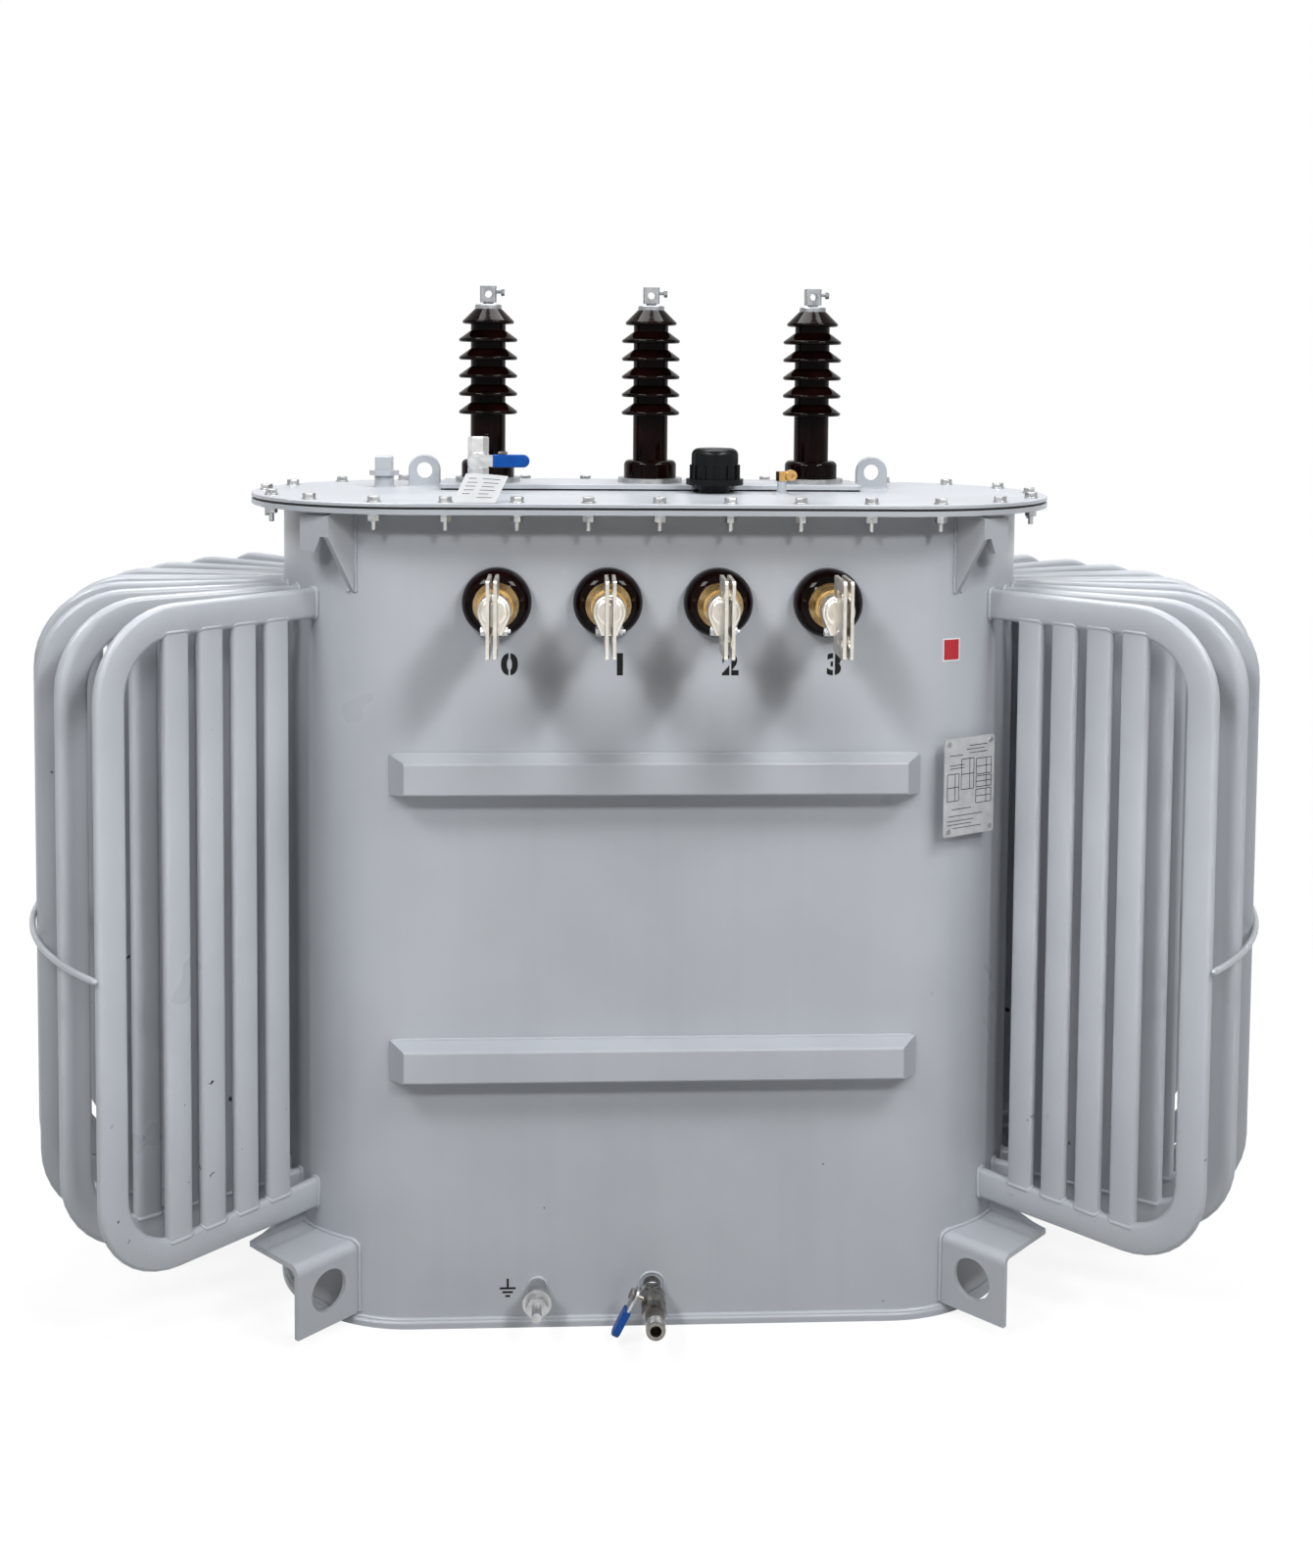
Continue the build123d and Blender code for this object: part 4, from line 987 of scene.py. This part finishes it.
# Stage: a pale floor that keeps a soft shadow, and a white surround
studio = {
    "floor size": 40.0, "floor level": -0.0005, "floor grey": "#7C7D7E", "floor shown": 0.14, "floor glow": 0.87,
    "fade from": 1.2, "fade to": 2.6, "surround fill": 0.02, "mirror front": 0.55, "mirror back": 0.75,
    "aim": (0, 0, 0.9), "lamp side": 2.6, "lamp height": 4.6,
    "front size": (0.7, 0.7), "front out": 5.0, "front right": 132.0, "front left": 102.0,
    "middle size": (1.4, 1.2), "middle out": 2.3, "middle right": 128.0, "middle left": 120.0,
    "strip size": (3.6, 0.5), "strip power": 5.5, "strip place": (0.0, -2.3, 0.15), "strip aim": (0, 0, 0.55),
    "roof size": (3.0, 1.5), "roof power": 142.0, "roof place": (0.0, 0.9, 4.6),
    "back size": (1.6, 1.2), "back power": 80.0, "back place": (3.2, 3.0, 1.15), "back aim": (0, 0, 0.8),
    "cooler size": (0.6, 0.8), "cooler power": 0.62, "cooler spread": 20.0,
    "cooler place": (0.9, -3.1, 0.95), "cooler aim": (0.98, -0.1, 0.72),
}


def makeFloor():
    deselect()
    bpy.ops.mesh.primitive_plane_add(size=studio["floor size"], location=(0, 0, studio["floor level"]))
    floor = settle(bpy.context.object)
    floor.name = "studio_floor"
    material = bpy.data.materials.new("paleFloor")
    material.use_nodes = True
    tree = material.node_tree
    tree.nodes.clear()
    path = addNode(tree, "ShaderNodeLightPath")
    seen = addNode(tree, "ShaderNodeMath", {"operation": "MAXIMUM"},
                   {0: path.outputs["Is Camera Ray"], 1: path.outputs["Is Transmission Ray"]})
    shown = addNode(tree, "ShaderNodeMath", {"operation": "MAXIMUM"},
                    {0: seen.outputs["Value"], 1: path.outputs["Is Glossy Ray"]})
    matte = addNode(tree, "ShaderNodeBsdfDiffuse", None, {"Color": linear(studio["floor grey"])})
    ground = addNode(tree, "ShaderNodeTexCoord").outputs["Object"]
    away = addNode(tree, "ShaderNodeVectorMath", {"operation": "LENGTH"}, {0: ground})
    # near the object the floor shows shadow, and further out it fades to white
    fade = {"Value": away.outputs["Value"], "From Min": studio["fade from"], "From Max": studio["fade to"]}
    share = addNode(tree, "ShaderNodeMapRange", {"interpolation_type": "SMOOTHSTEP"},
                    {**fade, "To Min": studio["floor shown"], "To Max": 0.0})
    veilTint = addNode(tree, "ShaderNodeCombineColor", None,
                       {channel: share.outputs["Result"] for channel in ("Red", "Green", "Blue")})
    level = addNode(tree, "ShaderNodeMapRange", {"interpolation_type": "SMOOTHSTEP"},
                    {**fade, "To Min": studio["floor glow"], "To Max": 1.0})
    veil = addNode(tree, "ShaderNodeBsdfDiffuse", None, {"Color": veilTint.outputs["Color"]})
    glow = addNode(tree, "ShaderNodeEmission", None,
                   {"Color": (1, 1, 1, 1), "Strength": level.outputs["Result"]})
    both = addNode(tree, "ShaderNodeAddShader", None, {0: veil.outputs["BSDF"], 1: glow.outputs["Emission"]})
    mixed = addNode(tree, "ShaderNodeMixShader", None,
                    {"Fac": shown.outputs["Value"], 1: matte.outputs["BSDF"], 2: both.outputs["Shader"]})
    addNode(tree, "ShaderNodeOutputMaterial", None, {"Surface": mixed.outputs["Shader"]})
    floor.data.materials.append(material)


def makeSurround():
    world = bpy.data.worlds.new("whiteSurround")
    bpy.context.scene.world = world
    world.use_nodes = True
    tree = world.node_tree
    tree.nodes.clear()
    path = addNode(tree, "ShaderNodeLightPath")
    shown = addNode(tree, "ShaderNodeMath", {"operation": "MAXIMUM"},
                    {0: path.outputs["Is Camera Ray"], 1: path.outputs["Is Transmission Ray"]})
    aim = addNode(tree, "ShaderNodeTexCoord").outputs["Generated"]
    facing = addNode(tree, "ShaderNodeSeparateXYZ", None, {"Vector": aim})
    mirrored = addNode(tree, "ShaderNodeMapRange", None,
                       {"Value": facing.outputs["Y"], "From Min": -0.2, "From Max": 0.6,
                        "To Min": studio["mirror front"], "To Max": studio["mirror back"]})
    dim = addNode(tree, "ShaderNodeMix", None,
                  {"Factor": path.outputs["Is Glossy Ray"], "A": studio["surround fill"],
                   "B": mirrored.outputs["Result"]})
    level = addNode(tree, "ShaderNodeMix", None,
                    {"Factor": shown.outputs["Value"], "A": dim.outputs["Result"], "B": 1.0})
    white = addNode(tree, "ShaderNodeBackground", None,
                    {"Color": (1, 1, 1, 1), "Strength": level.outputs["Result"]})
    addNode(tree, "ShaderNodeOutputWorld", None, {"Surface": white.outputs["Background"]})


def addLamp(name, place, aim, size, power, spread=180.0, mirrored=True):
    deselect()
    bpy.ops.object.light_add(type="AREA", location=place)
    lamp = bpy.context.object
    lamp.name = name
    lamp.data.shape = "RECTANGLE"
    lamp.data.size, lamp.data.size_y = size
    lamp.data.energy = power
    lamp.data.spread = math.radians(spread)
    lamp.visible_camera = False
    lamp.visible_glossy = mirrored
    lamp.rotation_euler = (Vector(aim) - Vector(place)).to_track_quat("-Z", "Y").to_euler()


makeFloor()
makeSurround()
for side, hand in ((1, "right"), (-1, "left")):
    for row in ("front", "middle"):
        place = (side * studio["lamp side"], -studio[row + " out"], studio["lamp height"])
        addLamp(row + "_lamp_" + hand, place, studio["aim"], studio[row + " size"], studio[row + " " + hand])
for side, hand in ((1, "left"), (-1, "right")):
    # each cooler's flat sides face inwards, so the lamp across from it lights it
    x, y, z = studio["cooler place"]
    aimX, aimY, aimZ = studio["cooler aim"]
    addLamp("cooler_lamp_" + hand, (side * x, y, z), (-side * aimX, aimY, aimZ),
            studio["cooler size"], studio["cooler power"], studio["cooler spread"])
    # low behind each corner, for the sides that the photograph hides, with no glint on the glaze's edges
    x, y, z = studio["back place"]
    addLamp("back_lamp_" + hand, (-side * x, y, z), studio["back aim"],
            studio["back size"], studio["back power"], mirrored=False)
addLamp("roof_lamp", studio["roof place"], studio["aim"], studio["roof size"], studio["roof power"])
addLamp("ground_strip", studio["strip place"], studio["strip aim"], studio["strip size"], studio["strip power"])
print("studio lit")

# Camera as the photograph was taken: a little left of centre, level with the terminals
camera = {
    "place": (-0.1441, -3.0739, 1.5659), "turn right": 0.0493, "look down": 0.0597, "roll": 0.0082,
    "focal pixels": 1828.9, "image height": 1600, "optical row": 480, "film": 36.0,
}
bpy.ops.object.camera_add()
viewer = bpy.context.object
viewer.matrix_world = (Matrix.Translation(camera["place"]) @ Matrix.Rotation(-camera["turn right"], 4, "Z")
                       @ Matrix.Rotation(math.pi / 2 - camera["look down"], 4, "X")
                       @ Matrix.Rotation(camera["roll"], 4, "Z"))
viewer.data.sensor_width = camera["film"]
viewer.data.lens = camera["focal pixels"] / camera["image height"] * camera["film"]
viewer.data.shift_y = camera["optical row"] / camera["image height"] - 0.5
bpy.context.scene.camera = viewer
bpy.context.scene.view_settings.view_transform = "Standard"

print("scene ready")
